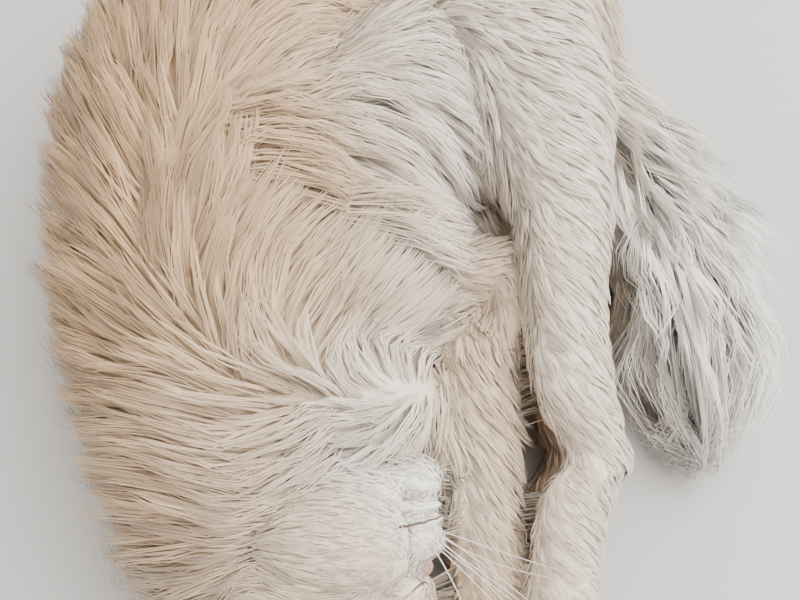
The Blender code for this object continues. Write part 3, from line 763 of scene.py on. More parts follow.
def hair_fields(limbs, points, shares, steps):
    """The hair's measures at each point, blended from the parts near it."""
    forward = np.array(head_axes()[0])
    fields = {field: np.zeros(len(points)) for field in HAIR_FIELDS}
    for name, limb in limbs.items():
        if name == "head":
            along = np.clip((0.034 - (points - np.array(head_point((0, 0, 0)))) @ forward) / 0.064, 0, 1)
        else:
            along = np.clip(steps[name] / (len(limb.centres) - 1), 0, 1)
        stations = np.linspace(0, 1, len(HAIR[name]))
        for field, values in zip(HAIR_FIELDS, zip(*HAIR[name])):
            fields[field] += shares[name] * np.interp(along, stations, values)
    height, share = fold_height(points[:, :2] + np.array(ORIGIN[:2]))
    share = share * np.exp(-np.abs(height) / FOLD_REACH) * (shares["trunk"] + shares["belly"])
    fields["depth"] *= 1 + share * np.where(height > 0, FOLD_LIFT, -FOLD_LIFT / 2)
    soft = shares["trunk"] + shares["belly"]
    fields["depth"] *= 1 + soft * relief(points[:, :2] + np.array(ORIGIN[:2]))
    whorl = ((points - np.array(head_point(WHORL))) ** 2).sum(axis=1)
    fields["depth"] *= 1 - 0.85 * np.exp(-whorl / 0.006**2)
    off = points[:, :2] + np.array(ORIGIN[:2]) - np.array(TUFT_END)
    near = np.clip(np.linalg.norm(off, axis=1) / TUFT_REACH, 0.45, 1)
    fields["length"] *= 1 - soft * (1 - near)
    return fields


class Skin:
    """The skin as arrays, with a search tree."""

    def __init__(self, obj):
        data = obj.data
        data.calc_loop_triangles()
        count = len(data.vertices)
        self.places = np.empty(count * 3)
        data.vertices.foreach_get("co", self.places)
        self.places = self.places.reshape(-1, 3)
        self.normals = np.empty(count * 3)
        data.vertices.foreach_get("normal", self.normals)
        self.normals = self.normals.reshape(-1, 3)
        triangles = len(data.loop_triangles)
        self.corners = np.empty(triangles * 3, int)
        data.loop_triangles.foreach_get("vertices", self.corners)
        self.corners = self.corners.reshape(-1, 3)
        loops = np.empty(triangles * 3, int)
        data.loop_triangles.foreach_get("loops", loops)
        uvs = np.empty(len(data.loops) * 2)
        data.uv_layers["OFBake"].data.foreach_get("uv", uvs)
        self.uvs = uvs.reshape(-1, 2)[loops.reshape(-1, 3)]
        self.tree = BVHTree.FromPolygons(self.places.tolist(), self.corners.tolist())

    def foot(self, points):
        """The nearest places on the skin and the smooth normals there."""
        hits = [self.tree.find_nearest(point) for point in points.tolist()]
        feet = np.array([hit[0] for hit in hits])
        corners = self.corners[[hit[2] for hit in hits]]
        a, b, c = (self.places[corners[:, k]] for k in range(3))
        area_a = np.linalg.norm(np.cross(b - feet, c - feet), axis=1)
        area_b = np.linalg.norm(np.cross(c - feet, a - feet), axis=1)
        area_c = np.linalg.norm(np.cross(a - feet, b - feet), axis=1)
        weights = np.column_stack((area_a, area_b, area_c))
        weights /= np.maximum(weights.sum(axis=1, keepdims=True), 1e-15)
        normals = unit((self.normals[corners] * weights[:, :, None]).sum(axis=1))
        return feet, normals


def strewn(skin, limbs, draw):
    """Roots strewn over the skin as thickly as the hair grows, with their places on the unwrap."""
    a, b, c = (skin.places[skin.corners[:, k]] for k in range(3))
    middles = (a + b + c) / 3
    cross = np.cross(b - a, c - a)
    area = np.linalg.norm(cross, axis=1) / 2
    normals = unit(cross)
    shares, steps = part_shares(limbs, middles)
    fields = hair_fields(limbs, middles, shares, steps)
    crowd = fields["crowd"] * 1e4 * area
    crowd[(normals[:, 2] < -0.75) & (middles[:, 2] < 0.008)] = 0  # nothing grows into the floor
    count = int(crowd.sum())
    chosen = draw.choice(len(crowd), count, p=crowd / crowd.sum())
    u, v = draw.random(count), draw.random(count)
    over = u + v > 1
    u[over], v[over] = 1 - u[over], 1 - v[over]
    weights = np.column_stack((1 - u - v, u, v))
    corners = skin.corners[chosen]
    places = (skin.places[corners] * weights[:, :, None]).sum(axis=1)
    smooth = unit((skin.normals[corners] * weights[:, :, None]).sum(axis=1))
    uvs = (skin.uvs[chosen] * weights[:, :, None]).sum(axis=1)
    keep = line_distance(skin, places) > LINE_CLEARANCE
    keep &= draw.random(count) > 0.75 * ear_cup(places, smooth)
    return places[keep], smooth[keep], uvs[keep]


def on_skin(skin, line, side, lift):
    """The line of the face laid on the skin at a finer pitch, lifted off it a little."""
    rows = smooth_path(line, 6 * (len(line) - 1) + 1)
    points = np.array([head_point((row[0], row[1] * side, row[2])) for row in rows])
    feet, normals = skin.foot(points)
    return feet + normals * lift


def line_distance(skin, points):
    """How far each point is from the lines of the face."""
    tree = KDTree(1000)
    count = 0
    for line in (MOUTH, PHILTRUM, LIDS):
        for side in (-1, 1):
            for place in on_skin(skin, line, side, 0.0).tolist():
                tree.insert(place, count)
                count += 1
    tree.balance()
    return np.array([tree.find(point)[2] for point in points.tolist()])


def nearest_index(points, normals, guides, guide_normals, lift=0.006):
    """The nearest guide to each point, told apart from guides that face another way."""
    tree = KDTree(len(guides))
    for i, place in enumerate((guides + guide_normals * lift).tolist()):
        tree.insert(place, i)
    tree.balance()
    return np.array([tree.find(place)[1] for place in (points + normals * lift).tolist()])


def thinned(places, normals, spacing, draw):
    """About evenly spread picks from the places, one for each cell of the local spacing."""
    level = np.round(np.log(spacing) / math.log(1.25))
    cell = 1.25**level
    keys = np.column_stack((level, np.floor(places / cell[:, None] + draw.random(3))))
    order = draw.permutation(len(places))
    _, first = np.unique(keys[order], axis=0, return_index=True)
    picks = order[first]
    near = nearest_index(places, normals, places[picks], normals[picks])
    sums = np.zeros((len(picks), 3))
    np.add.at(sums, near, places)
    counts = np.maximum(np.bincount(near, minlength=len(picks)), 1)
    centres = sums / counts[:, None]
    tree = KDTree(len(places))
    for i, place in enumerate(places.tolist()):
        tree.insert(place, i)
    tree.balance()
    return np.unique([tree.find(centre)[1] for centre in centres.tolist()])


def turned(vectors, axes, angles):
    """Each vector turned about its axis."""
    cosine, sine = np.cos(angles)[:, None], np.sin(angles)[:, None]
    along = (vectors * axes).sum(axis=1)[:, None]
    return vectors * cosine + np.cross(axes, vectors) * sine + axes * along * (1 - cosine)


RISE = np.array([0.0, 0.44, 0.72, 0.92, 1.0])  # height of a strand over the skin, as a share of its depth


def grown(skin, limbs, roots, normals, length, depth, bend, curl):
    """Paths that follow the lie over the skin: points, forward and up directions at every ring.

    A path is sound where it stays on its part of the skin and doesn't jump to the next one.
    """
    over = fold_height(roots[:, :2] + np.array(ORIGIN[:2]))[0] > 0
    feet, ups = roots.copy(), normals.copy()
    paths, ways, tops = [roots.copy()], [], [normals.copy()]
    sound = np.ones(len(roots), bool)
    stride = length / (RINGS - 1)
    for ring in range(1, RINGS):
        shares, steps = part_shares(limbs, feet)
        way = coat_way(limbs, feet, shares, steps, over)
        way = unit(way - ups * (way * ups).sum(axis=1)[:, None])
        way = turned(way, ups, bend + curl * math.sin(ring * 1.9))
        if ring == 1:
            ways.append(way)
        before, ups_before = feet, ups
        feet, ups = skin.foot(feet + way * stride[:, None])
        sound &= np.linalg.norm(feet - before, axis=1) < 2.5 * stride + 0.0015
        sound &= (ups * ups_before).sum(axis=1) > -0.6
        ways.append(way)
        tops.append(ups)
        paths.append(feet + ups * (depth * RISE[ring])[:, None])
    return np.stack(paths, axis=1), np.stack(ways, axis=1), np.stack(tops, axis=1), sound


def along_shares():
    return np.linspace(0, 1, RINGS)


def grow_coat(skin, limbs, draw):
    """Every strand of the coat as a path, with its width, shading direction, tone and unwrap place."""
    places, normals, uvs = strewn(skin, limbs, draw)
    shares, steps = part_shares(limbs, places)
    fields = hair_fields(limbs, places, shares, steps)
    s = along_shares()

    locks = thinned(places, normals, fields["lock"], draw)
    count = len(locks)
    lock_length = fields["length"][locks] * draw.uniform(0.85, 1.20, count)
    lock_depth = fields["depth"][locks] * draw.uniform(0.70, 1.15, count)
    lock_paths, _, _, lock_sound = grown(
        skin, limbs, places[locks], normals[locks], lock_length, lock_depth,
        draw.normal(0, 0.16, count), draw.normal(0, 0.10, count),
    )

    wisps = thinned(places, normals, fields["wisp"], draw)
    count = len(wisps)
    lock_of = nearest_index(places[wisps], normals[wisps], places[locks], normals[locks])
    away = np.linalg.norm(places[wisps] - places[locks][lock_of], axis=1) / fields["lock"][wisps]
    rounding = 1.12 - 0.75 * np.clip(away / 0.62, 0, 1) ** 2
    wisp_length = lock_length[lock_of] * draw.uniform(0.80, 1.08, count)
    wisp_depth = lock_depth[lock_of] * rounding * draw.uniform(0.80, 1.12, count)
    wisp_paths, wisp_ways, wisp_tops, wisp_sound = grown(
        skin, limbs, places[wisps], normals[wisps], wisp_length, wisp_depth,
        draw.normal(0, 0.10, count), draw.normal(0, 0.10, count),
    )
    height, share = fold_height(places[:, :2] + np.array(ORIGIN[:2]))
    same_side = (height[locks][lock_of] > 0) == (height[wisps] > 0)
    together = lock_sound[lock_of] & (same_side | (share[wisps] < 0.05))
    gather = ((fields["gather"][wisps] * together)[:, None] * s[None, :] ** 1.4)[:, :, None]
    wisp_paths = wisp_paths + (lock_paths[lock_of] - wisp_paths) * gather

    count = len(places)
    wisp_of = nearest_index(places, normals, places[wisps], normals[wisps])
    offset = places - places[wisps][wisp_of]
    ways, tops = wisp_ways[wisp_of], wisp_tops[wisp_of]
    sides = np.cross(ways, tops)
    along = (offset * ways[:, 0]).sum(axis=1)
    across = (offset * sides[:, 0]).sum(axis=1)
    closing = 1 - 0.60 * s**1.3
    stray = draw.normal(0, 1, (count, 2)) * (0.10 * fields["wisp"])[:, None]
    paths = wisp_paths[wisp_of].copy()
    paths += ways * (along[:, None] * closing)[:, :, None]
    paths += sides * (across[:, None] * closing + stray[:, :1] * s)[:, :, None]
    broad = (draw.random(count) < BROAD_SHARE) & (fields["length"] > 0.010)
    height = np.where(broad, draw.uniform(0.45, 0.85, count), draw.uniform(0.80, 1.05, count))
    rise = (wisp_depth[wisp_of][:, None] * RISE[None, :]) * (height - 1)[:, None]
    paths += tops * rise[:, :, None]
    reach = draw.uniform(0.78, 1.06, count)
    paths = shortened(paths, reach)
    paths[:, 0] = places - normals * 0.0008
    paths[:, 1:, 2] = np.clip(paths[:, 1:, 2], FLOOR_CLEARANCE, CEILING)

    lean = (paths - lock_paths[lock_of[wisp_of]]) * together[wisp_of][:, None, None]
    lean = lean - ways * (lean * ways).sum(axis=2)[:, :, None]
    lean = (lean - tops * (lean * tops).sum(axis=2)[:, :, None]) / (0.85 * fields["lock"])[:, None, None]
    lean /= np.maximum(1.0, np.linalg.norm(lean, axis=2, keepdims=True) / LOCK_ROUNDNESS)
    shade = unit_rows(tops + lean)
    coat = {
        "paths": paths,
        "shade": shade,
        "tops": tops,
        "width": fields["width"] * draw.uniform(0.75, 1.2, count) * np.where(broad, BROAD_WIDTH, 1.0),
        "broad": broad,
        "length": fields["length"],
        "uvs": uvs,
        "lock_tone": draw.normal(0, 1, len(locks))[lock_of[wisp_of]],
        "tone": draw.normal(0, 1, count),
    }
    sound = wisp_sound[wisp_of]
    coat = {key: values[sound] for key, values in coat.items()}
    coat["shares"] = {name: share[sound] for name, share in shares.items()}
    return coat


def shortened(paths, reach):
    """The paths cut or stretched to a share of their own length, ring by ring."""
    count = paths.shape[0]
    place = np.linspace(0, 1, RINGS)[None, :] * reach[:, None] * (RINGS - 1)
    low = np.clip(place.astype(int), 0, RINGS - 2)
    part = (place - low)[:, :, None]
    rows = np.arange(count)[:, None]
    return paths[rows, low] * (1 - part) + paths[rows, low + 1] * part


WIDTHS = np.array([0.85, 1.0, 0.90, 0.62, 0.0])
THICKNESS = 0.00022  # of every strand, at the most


MARKINGS_AND_SHADE = {  # how warm and how white the coat is on each part; the warm share is also darker, partly the coat's own colour and partly painted shade and warm bounce light
    "trunk": (0.42, 0.00),
    "belly": (0.05, 0.75),
    "tail": (0.00, 1.00),
    "foreleg_left": (0.50, 0.05),
    "foreleg_right": (0.45, 0.00),
    "hindleg_left": (0.08, 0.58),
    "hindleg_right": (0.30, 0.10),
    "head": (0.15, 0.34),
}
MARKING_WIDTH = 0.022  # the markings of one part run this far into the next
# how much warmer, darker and less white the coat grows towards the spine: partly its own colour, partly painted shade
# on the side away from the key lamp
SPINE_WARMTH_AND_SHADE = 0.62


def marking_and_shade(limbs, points):
    """How warm and how white the coat is at each point; the warm share is also darker, partly painted shade and warm
    bounce light.
    """
    shares, _ = part_shares(limbs, points, MARKING_WIDTH)
    warm_and_shade = sum(shares[name] * MARKINGS_AND_SHADE[name][0] for name in shares)
    white = sum(shares[name] * MARKINGS_AND_SHADE[name][1] for name in shares)
    # towards the spine the coat is painted warmer, darker and less white: partly its own colour, partly painted shade
    towards_spine = np.clip((-0.050 - points[:, 0]) / 0.080, 0, 1)
    warm_and_shade += SPINE_WARMTH_AND_SHADE * towards_spine * (shares["trunk"] + shares["belly"] + 0.5 * shares["head"])
    white *= 1 - 0.8 * towards_spine
    muzzle = np.array(head_point((0.030, 0.008, -0.020)))
    white += 0.8 * np.exp(-((points - muzzle) ** 2).sum(axis=1) / 0.024**2)
    return np.clip(warm_and_shade, 0, 1), np.clip(white, 0, 1)


def strand_piece(name, coat, chosen, rings):
    """A joined mesh of flat, tapered, three-sided strands."""
    rings = np.array(rings)
    paths = coat["paths"][chosen][:, rings]
    shade = coat["shade"][chosen][:, rings]
    tops = coat["tops"][chosen][:, rings]
    count, levels = paths.shape[:2]
    ahead = np.gradient(paths, axis=1)
    ahead /= np.maximum(np.linalg.norm(ahead, axis=2, keepdims=True), 1e-9)
    side = np.cross(ahead, tops)
    side /= np.maximum(np.linalg.norm(side, axis=2, keepdims=True), 1e-9)
    up = np.cross(side, ahead)
    half = coat["width"][chosen][:, None] * WIDTHS[rings][None, :] / 2
    half = half[:, :, None]
    left = paths - side * half
    right = paths + side * half
    ridge = paths + up * np.minimum(half, THICKNESS)
    body = np.stack((left[:, :-1], right[:, :-1], ridge[:, :-1]), axis=2).reshape(count, -1, 3)
    verts = np.concatenate((body, paths[:, -1:]), axis=1)
    per = verts.shape[1]
    lean = np.stack((-side[:, :-1], side[:, :-1], up[:, :-1]), axis=2).reshape(count, -1, 3)
    soft = np.repeat(shade[:, :-1], 3, axis=1)
    normals = np.concatenate((soft + lean * STRAND_ROUNDNESS, shade[:, -1:]), axis=1).reshape(-1, 3)
    faces = []
    for level in range(levels - 2):
        base, above = level * 3, level * 3 + 3
        for k in range(3):
            n = (k + 1) % 3
            faces += [(base + k, above + n, base + n), (base + k, above + k, above + n)]
    last, tip = (levels - 2) * 3, per - 1
    faces += [(last + 1, last, tip), (last + 2, last + 1, tip), (last, last + 2, tip), (0, 1, 2)]
    faces = np.array(faces)
    corners = (faces[None] + (np.arange(count) * per)[:, None, None]).reshape(-1, 3)
    data = bpy.data.meshes.new(name)
    data.vertices.add(count * per)
    data.vertices.foreach_set("co", verts.ravel())
    data.loops.add(corners.size)
    data.loops.foreach_set("vertex_index", corners.ravel())
    data.polygons.add(len(corners))
    data.polygons.foreach_set("loop_start", np.arange(0, corners.size, 3))
    data.update(calc_edges=True)
    data.shade_smooth()

    share = np.repeat(np.append(np.repeat(coat_shares(rings)[:-1], 3), 1.0)[None], count, axis=0)
    across = np.tile([0.0, 1.0, 0.5], levels - 1)
    patch = np.stack((np.append(across, 0.5), np.append(np.repeat(coat_shares(rings)[:-1], 3), 1.0)), axis=1)
    uv = coat["uvs"][chosen][:, None, :] + (patch[None] - 0.5) * PATCH
    layer = data.uv_layers.new(name="OFBake")
    layer.data.foreach_set("uv", uv.reshape(-1, 2)[corners.ravel()].ravel())

    warm_and_shade, white = coat["marks"]
    tone = np.empty((count, per, 4))
    tone[:, :, 0] = warm_and_shade[chosen][:, None]
    tone[:, :, 1] = white[chosen][:, None]
    # the share along the strand, which sets the painted shade at its root
    tone[:, :, 2] = share
    varied = 0.5 + 0.13 * coat["lock_tone"][chosen] + 0.08 * coat["tone"][chosen]
    tone[:, :, 3] = np.clip(varied, 0, 1)[:, None]
    attribute = data.attributes.new("coat_tone", "FLOAT_COLOR", "POINT")
    attribute.data.foreach_set("color", tone.ravel())
    data.normals_split_custom_set_from_vertices(unit(normals).tolist())
    return new_object(name, data)


PATCH = 0.003  # each strand's patch on the unwrap
LOCK_ROUNDNESS = 0.7  # how far the shading turns to the side at a lock's edge
STRAND_ROUNDNESS = 0.08  # how much a strand's own sides turn its shading


def coat_shares(rings):
    return rings / (RINGS - 1)


def coat_pieces(coat):
    """The coat split by part, each piece small enough to export."""
    names = list(coat["shares"])
    main = np.argmax([coat["shares"][name] for name in names], axis=0)
    groups = {
        "body": [names.index("trunk"), names.index("belly")],
        "tail": [names.index("tail")],
        "forelegs": [names.index("foreleg_left"), names.index("foreleg_right")],
        "hindlegs": [names.index("hindleg_left"), names.index("hindleg_right")],
        "head": [names.index("head")],
    }
    made = []
    for group, members in groups.items():
        short = coat["length"] < SHORT_HAIR
        kinds = {
            "tufts": (coat["broad"] & ~short, (0, 1, 3, 4)),
            "fine": (~coat["broad"] & ~short, (0, 1, 3, 4)),
            "short": (short, (0, 2, 4)),
        }
        for kind, (of_kind, rings) in kinds.items():
            chosen = np.flatnonzero(np.isin(main, members) & of_kind)
            if not len(chosen):
                continue
            per = 6 * (len(rings) - 2) + 4
            pieces = math.ceil(len(chosen) * per / PIECE_TRIANGLES)
            order = chosen[np.argsort(coat["paths"][chosen, 0, 1])]
            for number, share in enumerate(np.array_split(order, pieces)):
                made.append(strand_piece(f"coat_{group}_{kind}_{number + 1}", coat, share, rings))
    return made


CREAM = (0.70, 0.50, 0.31)
# the back's warm colour, darker than the cream: partly its own colour, partly painted shade and warm bounce light
WARM_AND_SHADE = (0.50, 0.31, 0.155)
WHITE = (0.96, 0.92, 0.85)
# darker colours at the strands' roots, for the cream and the white coat: painted shade deep in the coat
ROOT_PAINTED_SHADE = (0.50, 0.32, 0.18)
WHITE_ROOT_PAINTED_SHADE = (0.90, 0.84, 0.75)


EAR_PINK = (0.80, 0.52, 0.43)


def node_material(name):
    material = bpy.data.materials.new(name)
    material.use_nodes = True
    tree = material.node_tree
    return material, tree, tree.nodes["Principled BSDF"]


def mixed(tree, factor, first, second):
    """A colour mix node; each input is a socket or a plain value."""
    node = tree.nodes.new("ShaderNodeMix")
    node.data_type = "RGBA"
    sockets = (node.inputs[0], node.inputs[6], node.inputs[7])
    for socket, value in zip(sockets, (factor, first, second)):
        if isinstance(value, bpy.types.NodeSocket):
            tree.links.new(value, socket)
        elif isinstance(value, tuple):
            socket.default_value = (*value, 1)
        else:
            socket.default_value = value
    return node.outputs[2]


def marked_and_shaded_colour(tree):
    """The coat's markings from the tone attribute: cream, warmer on the back with painted shade in its darker colour,
    whiter below, and the roots' painted shade.
    """
    tone = tree.nodes.new("ShaderNodeAttribute")
    tone.attribute_name = "coat_tone"
    parts = tree.nodes.new("ShaderNodeSeparateColor")
    tree.links.new(tone.outputs["Color"], parts.inputs[0])
    colour = mixed(tree, parts.outputs[0], CREAM, WARM_AND_SHADE)
    colour = mixed(tree, parts.outputs[1], colour, WHITE)
    root = mixed(tree, parts.outputs[1], ROOT_PAINTED_SHADE, WHITE_ROOT_PAINTED_SHADE)
    return colour, root, parts.outputs[2], tone.outputs["Alpha"]


def coat_material():
    material, tree, shader = node_material("cream_coat")
    colour, root, along, varied = marked_and_shaded_colour(tree)
    # each strand darkens from its tip towards its root: painted shade deep in the coat
    rise = tree.nodes.new("ShaderNodeMapRange")
    rise.inputs["From Max"].default_value = 0.75
    rise.inputs["To Min"].default_value = 0.55
    rise.inputs["To Max"].default_value = 1.0
    tree.links.new(along, rise.inputs["Value"])
    shaded = mixed(tree, rise.outputs[0], root, colour)
    light = tree.nodes.new("ShaderNodeHueSaturation")
    value = tree.nodes.new("ShaderNodeMapRange")
    value.inputs["To Min"].default_value = 0.89
    value.inputs["To Max"].default_value = 1.11
    tree.links.new(varied, value.inputs["Value"])
    tree.links.new(value.outputs[0], light.inputs["Value"])
    tree.links.new(shaded, light.inputs["Color"])
    tree.links.new(light.outputs[0], shader.inputs["Base Color"])
    shader.inputs["Roughness"].default_value = 0.70
    shader.inputs["Specular IOR Level"].default_value = 0.25
    shader.inputs["Sheen Weight"].default_value = 0.25
    shader.inputs["Sheen Roughness"].default_value = 0.5
    return material


def skin_material():
    material, tree, shader = node_material("undercoat")
    colour, root, cup, _ = marked_and_shaded_colour(tree)
    colour = mixed(tree, cup, colour, EAR_PINK)
    noise = tree.nodes.new("ShaderNodeTexNoise")
    noise.inputs["Scale"].default_value = 700
    place = tree.nodes.new("ShaderNodeTexCoord")
    tree.links.new(place.outputs["Object"], noise.inputs["Vector"])
    # the skin darkens towards the root colour in noisy patches: painted shade under the coat
    painted_undercoat_shade = mixed(tree, 0.30, colour, root)
    patchy = mixed(tree, noise.outputs[0], painted_undercoat_shade, colour)
    tree.links.new(patchy, shader.inputs["Base Color"])
    bump = tree.nodes.new("ShaderNodeBump")
    bump.inputs["Strength"].default_value = 0.4
    bump.inputs["Distance"].default_value = 0.0004
    tree.links.new(noise.outputs[0], bump.inputs["Height"])
    tree.links.new(bump.outputs[0], shader.inputs["Normal"])
    shader.inputs["Roughness"].default_value = 0.8
    return material


def mark_skin_and_shade(obj, skin, limbs):
    """Writes the coat's markings, with their painted shade, on the skin."""
    warm_and_shade, white = marking_and_shade(limbs, skin.places)
    cup = ear_cup(skin.places, skin.normals)
    tone = np.column_stack((warm_and_shade, white, cup, np.full(len(warm_and_shade), 0.5)))
    attribute = obj.data.attributes.new("coat_tone", "FLOAT_COLOR", "POINT")
    attribute.data.foreach_set("color", tone.ravel())


def tubes(name, paths, radius, reference, sides=6):
    """Closed tubes along the paths; radius gives the half width at a share of the way along."""
    points, polygons, shares = [], [], []
    turns = np.linspace(0, 2 * math.pi, sides, endpoint=False)
    for path in paths:
        base = len(points)
        ahead = unit(np.gradient(np.array(path), axis=0))
        side = unit(np.cross(ahead, np.array(reference)))
        above = np.cross(side, ahead)
        last = len(path) - 1
        for i, place in enumerate(path):
            half = radius(i / last)
            for turn in turns:
                points.append(place + (side[i] * math.cos(turn) + above[i] * math.sin(turn)) * half)
                shares.append(i / last)
        for i in range(last):
            for k in range(sides):
                n = (k + 1) % sides
                row, above_row = base + i * sides, base + (i + 1) * sides
                polygons.append((row + k, row + n, above_row + n, above_row + k))
        polygons.append(tuple(base + k for k in reversed(range(sides))))
        polygons.append(tuple(base + last * sides + k for k in range(sides)))
    data = bpy.data.meshes.new(name)
    data.from_pydata([tuple(point) for point in points], [], polygons)
    data.update()
    data.shade_smooth()
    attribute = data.attributes.new("along", "FLOAT", "POINT")
    attribute.data.foreach_set("value", shares)
    return new_object(name, data)


def line_material(name, first, last, roughness):
    """A colour that changes along a tube, broken up by a little noise."""
    material, tree, shader = node_material(name)
    along = tree.nodes.new("ShaderNodeAttribute")
    along.attribute_name = "along"
    noise = tree.nodes.new("ShaderNodeTexNoise")
    noise.inputs["Scale"].default_value = 900
    place = tree.nodes.new("ShaderNodeTexCoord")
    tree.links.new(place.outputs["Object"], noise.inputs["Vector"])
    colour = mixed(tree, along.outputs["Fac"], first, last)
    darker = mixed(tree, 0.25, colour, (0.08, 0.05, 0.04))
    tree.links.new(mixed(tree, noise.outputs[0], darker, colour), shader.inputs["Base Color"])
    bump = tree.nodes.new("ShaderNodeBump")
    bump.inputs["Strength"].default_value = 0.3
    bump.inputs["Distance"].default_value = 0.0002
    tree.links.new(noise.outputs[0], bump.inputs["Height"])
    tree.links.new(bump.outputs[0], shader.inputs["Normal"])
    shader.inputs["Roughness"].default_value = roughness
    return material


def face_lines(skin):
    """The lips with the groove under the nose, and the closed lids' slits."""
    forward, _, above = head_axes()
    lips = tubes(
        "lips", [on_skin(skin, MOUTH, side, 0.0002) for side in (-1, 1)], lambda t: 0.00022 + 0.00030 * t, above
    )
    # the lips run from pink at the front to near black at the corner: partly the lips' own dark rim, partly painted
    # shade in the corner's crease
    lips.data.materials.append(line_material("lips", (0.50, 0.27, 0.22), (0.05, 0.03, 0.025), 0.55))
    groove = tubes("lip_groove", [on_skin(skin, PHILTRUM, 1, 0.0002)], lambda t: 0.0004 + 0.0002 * t, forward)
    groove.data.materials.append(line_material("lip_groove", (0.55, 0.33, 0.28), (0.56, 0.33, 0.28), 0.6))
    slits = tubes(
        "lid_slits",
        [on_skin(skin, LIDS, side, 0.0003) for side in (-1, 1)],
        lambda t: 0.00015 + 0.00030 * math.sin(math.pi * min(max(t, 0.0), 1.0)),
        above,
    )
    slits.data.materials.append(line_material("lid_slits", (0.14, 0.09, 0.07), (0.20, 0.13, 0.10), 0.5))
    return [lips, groove, slits]


def whisker_piece(skin, draw):
    """Long white whiskers from the pads of the lip and over the eyes, bent a little by their weight."""
    paths = []
    for side in (-1, 1):
        for place, way, length in WHISKER_ROOTS:
            start = np.array(head_point((place[0], place[1] * side, place[2])))
            foot, _ = skin.foot(start[None])
            way = np.array(head_direction((way[0], way[1] * side, way[2])))
            way = unit((way + draw.normal(0, 0.06, 3))[None])[0]
            bend = np.cross(way, draw.normal(0, 1, 3)) * 0.12 + np.array([0, 0, -0.10])
            reach = length * draw.uniform(0.85, 1.1)
            steps = np.linspace(0, 1, 9)[:, None]
            path = foot[0] - way * 0.001 + way * reach * steps + bend * reach * steps**2
            path[:, 2] = np.maximum(path[:, 2], 2 * FLOOR_CLEARANCE)
            paths.append(path)
    piece = tubes("whiskers", paths, lambda t: 0.00022 * (1 - t) ** 0.7 + 0.00004, (0.1, 0.2, 1.0), 4)
    piece.data.materials.append(line_material("whisker", (0.93, 0.91, 0.87), (0.96, 0.95, 0.93), 0.35))
    return piece


def pushed_in(obj, centre, depth, reach, way):
    """Dents the mesh around a point."""
    for vertex in obj.data.vertices:
        near = math.exp(-((vertex.co - centre).length_squared) / reach**2)
        vertex.co += way * (depth * near)


def nose_piece():
    balls = []
    add_ball(balls, head_point(NOSE_PLACE), head_axes(), NOSE_SIZE)
    for side in (-1, 1):
        wing = NOSE_PLACE + Vector((-0.0010, 0.0034 * side, 0.0004))
        add_ball(balls, head_point(wing), head_axes(), (0.0034, 0.0034, 0.0034))
    add_ball(balls, head_point(NOSE_PLACE + Vector((-0.0005, 0, -0.0036))), head_axes(), (0.0032, 0.0026, 0.0032))
    nose = fused("nose_leather_piece", balls, 0.0004, 2, 32)
    back = -head_axes()[0]
    for side in (-1, 1):
        place = (NOSTRIL[0], NOSTRIL[1] * side, NOSTRIL[2])
        pushed_in(nose, head_point(place), 0.0024, 0.0013, back)
        outer = (NOSTRIL[0] - 0.001, (NOSTRIL[1] + 0.0022) * side, NOSTRIL[2] - 0.001)
        pushed_in(nose, head_point(outer), 0.0012, 0.0011, back)
    for height in (0.0025, 0.0005, -0.0015):
        pushed_in(nose, head_point((0.0380, 0, height)), 0.0006, 0.0008, back)
    nose.data.shade_smooth()
    material, tree, shader = node_material("nose_leather")
    noise = tree.nodes.new("ShaderNodeTexVoronoi")
    noise.inputs["Scale"].default_value = 1800
    place = tree.nodes.new("ShaderNodeTexCoord")
    tree.links.new(place.outputs["Object"], noise.inputs["Vector"])
    bump = tree.nodes.new("ShaderNodeBump")
    bump.inputs["Strength"].default_value = 0.3
    bump.inputs["Distance"].default_value = 0.0003
    tree.links.new(noise.outputs[0], bump.inputs["Height"])
    tree.links.new(bump.outputs[0], shader.inputs["Normal"])
    tree.links.new(mixed(tree, noise.outputs[0], (0.56, 0.30, 0.25), (0.64, 0.37, 0.31)), shader.inputs["Base Color"])
    shader.inputs["Roughness"].default_value = 0.45
    nose.data.materials.append(material)
    return nose


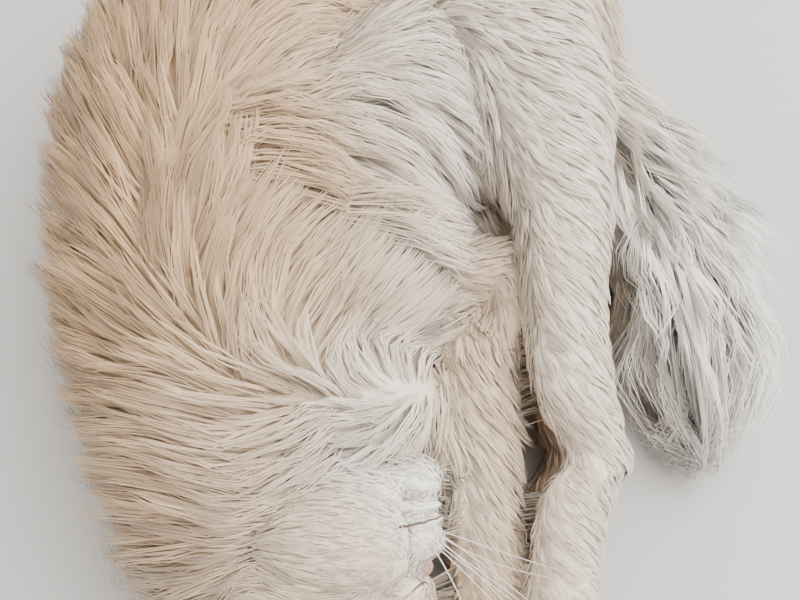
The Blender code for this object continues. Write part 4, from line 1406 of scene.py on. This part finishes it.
def build_stage():
    mesh = bmesh.new()
    bmesh.ops.create_grid(mesh, x_segments=1, y_segments=1, size=3)
    floor = from_bmesh("floor", mesh)
    material, tree, shader = node_material("pale_floor")
    shader.inputs["Base Color"].default_value = (0.54, 0.53, 0.515, 1)
    shader.inputs["Roughness"].default_value = 0.9
    floor.data.materials.append(material)

    world = bpy.data.worlds.new("studio")
    bpy.context.scene.world = world
    world.use_nodes = True
    world.node_tree.nodes["Background"].inputs[0].default_value = (1.0, 0.975, 0.94, 1)
    world.node_tree.nodes["Background"].inputs[1].default_value = 1.30
    lamps = (  # name, place, size, power, colour
        ("key", (0.62, 0.15, 1.00), 1.4, 36.0, (1.0, 0.985, 0.965)),
        ("fill", (-0.9, -0.5, 0.9), 1.2, 1.0, (1.0, 0.90, 0.78)),
    )
    for name, place, size, power, colour in lamps:
        light = bpy.data.lights.new(name, "AREA")
        light.size = size
        light.energy = power
        light.color = colour
        lamp = new_object(name, light)
        lamp.location = place
        lamp.rotation_euler = (-Vector(place)).to_track_quat("-Z", "Y").to_euler()


CAMERA_PLACE = Vector((0, -0.158, 0.394))  # in the tables' frame
CAMERA_AIM = Vector((0, 0, 0.07))
CAMERA_LENS = 40.5


def build_camera():
    camera = bpy.data.cameras.new("camera")
    camera.lens = CAMERA_LENS
    obj = new_object("camera", camera)
    shift = Vector((ORIGIN.x, ORIGIN.y, ORIGIN.z))
    obj.location = CAMERA_PLACE - shift
    obj.rotation_euler = (CAMERA_AIM - CAMERA_PLACE).to_track_quat("-Z", "Y").to_euler()
    bpy.context.scene.camera = obj


def main():
    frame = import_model()
    draw = np.random.default_rng(SEED)
    limbs = make_limbs()
    skin_object = build_skin()
    skin = Skin(skin_object)
    mark_skin_and_shade(skin_object, skin, limbs)
    skin_object.data.materials.clear()
    skin_object.data.materials.append(skin_material())
    coat = grow_coat(skin, limbs, draw)
    coat["marks"] = marking_and_shade(limbs, coat["paths"][:, 0])
    fur = coat_material()
    pieces = coat_pieces(coat)
    for piece in pieces:
        piece.data.materials.append(fur)
    tufts = sum(len(piece.data.polygons) for piece in pieces)
    nose = nose_piece()
    pieces += [*face_lines(skin), whisker_piece(skin, draw)]
    for piece in (skin_object, nose, *pieces):
        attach(piece, "root")
    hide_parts(*[name for name in frame["nodes"] if name != "nose"])
    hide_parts("nose")
    build_stage()
    build_camera()
    total = sum(len(piece.data.polygons) for piece in (skin_object, *pieces))
    print("triangles", total, "coat", tufts, {piece.name: len(piece.data.polygons) for piece in (skin_object, *pieces)})
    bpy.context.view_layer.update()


main()
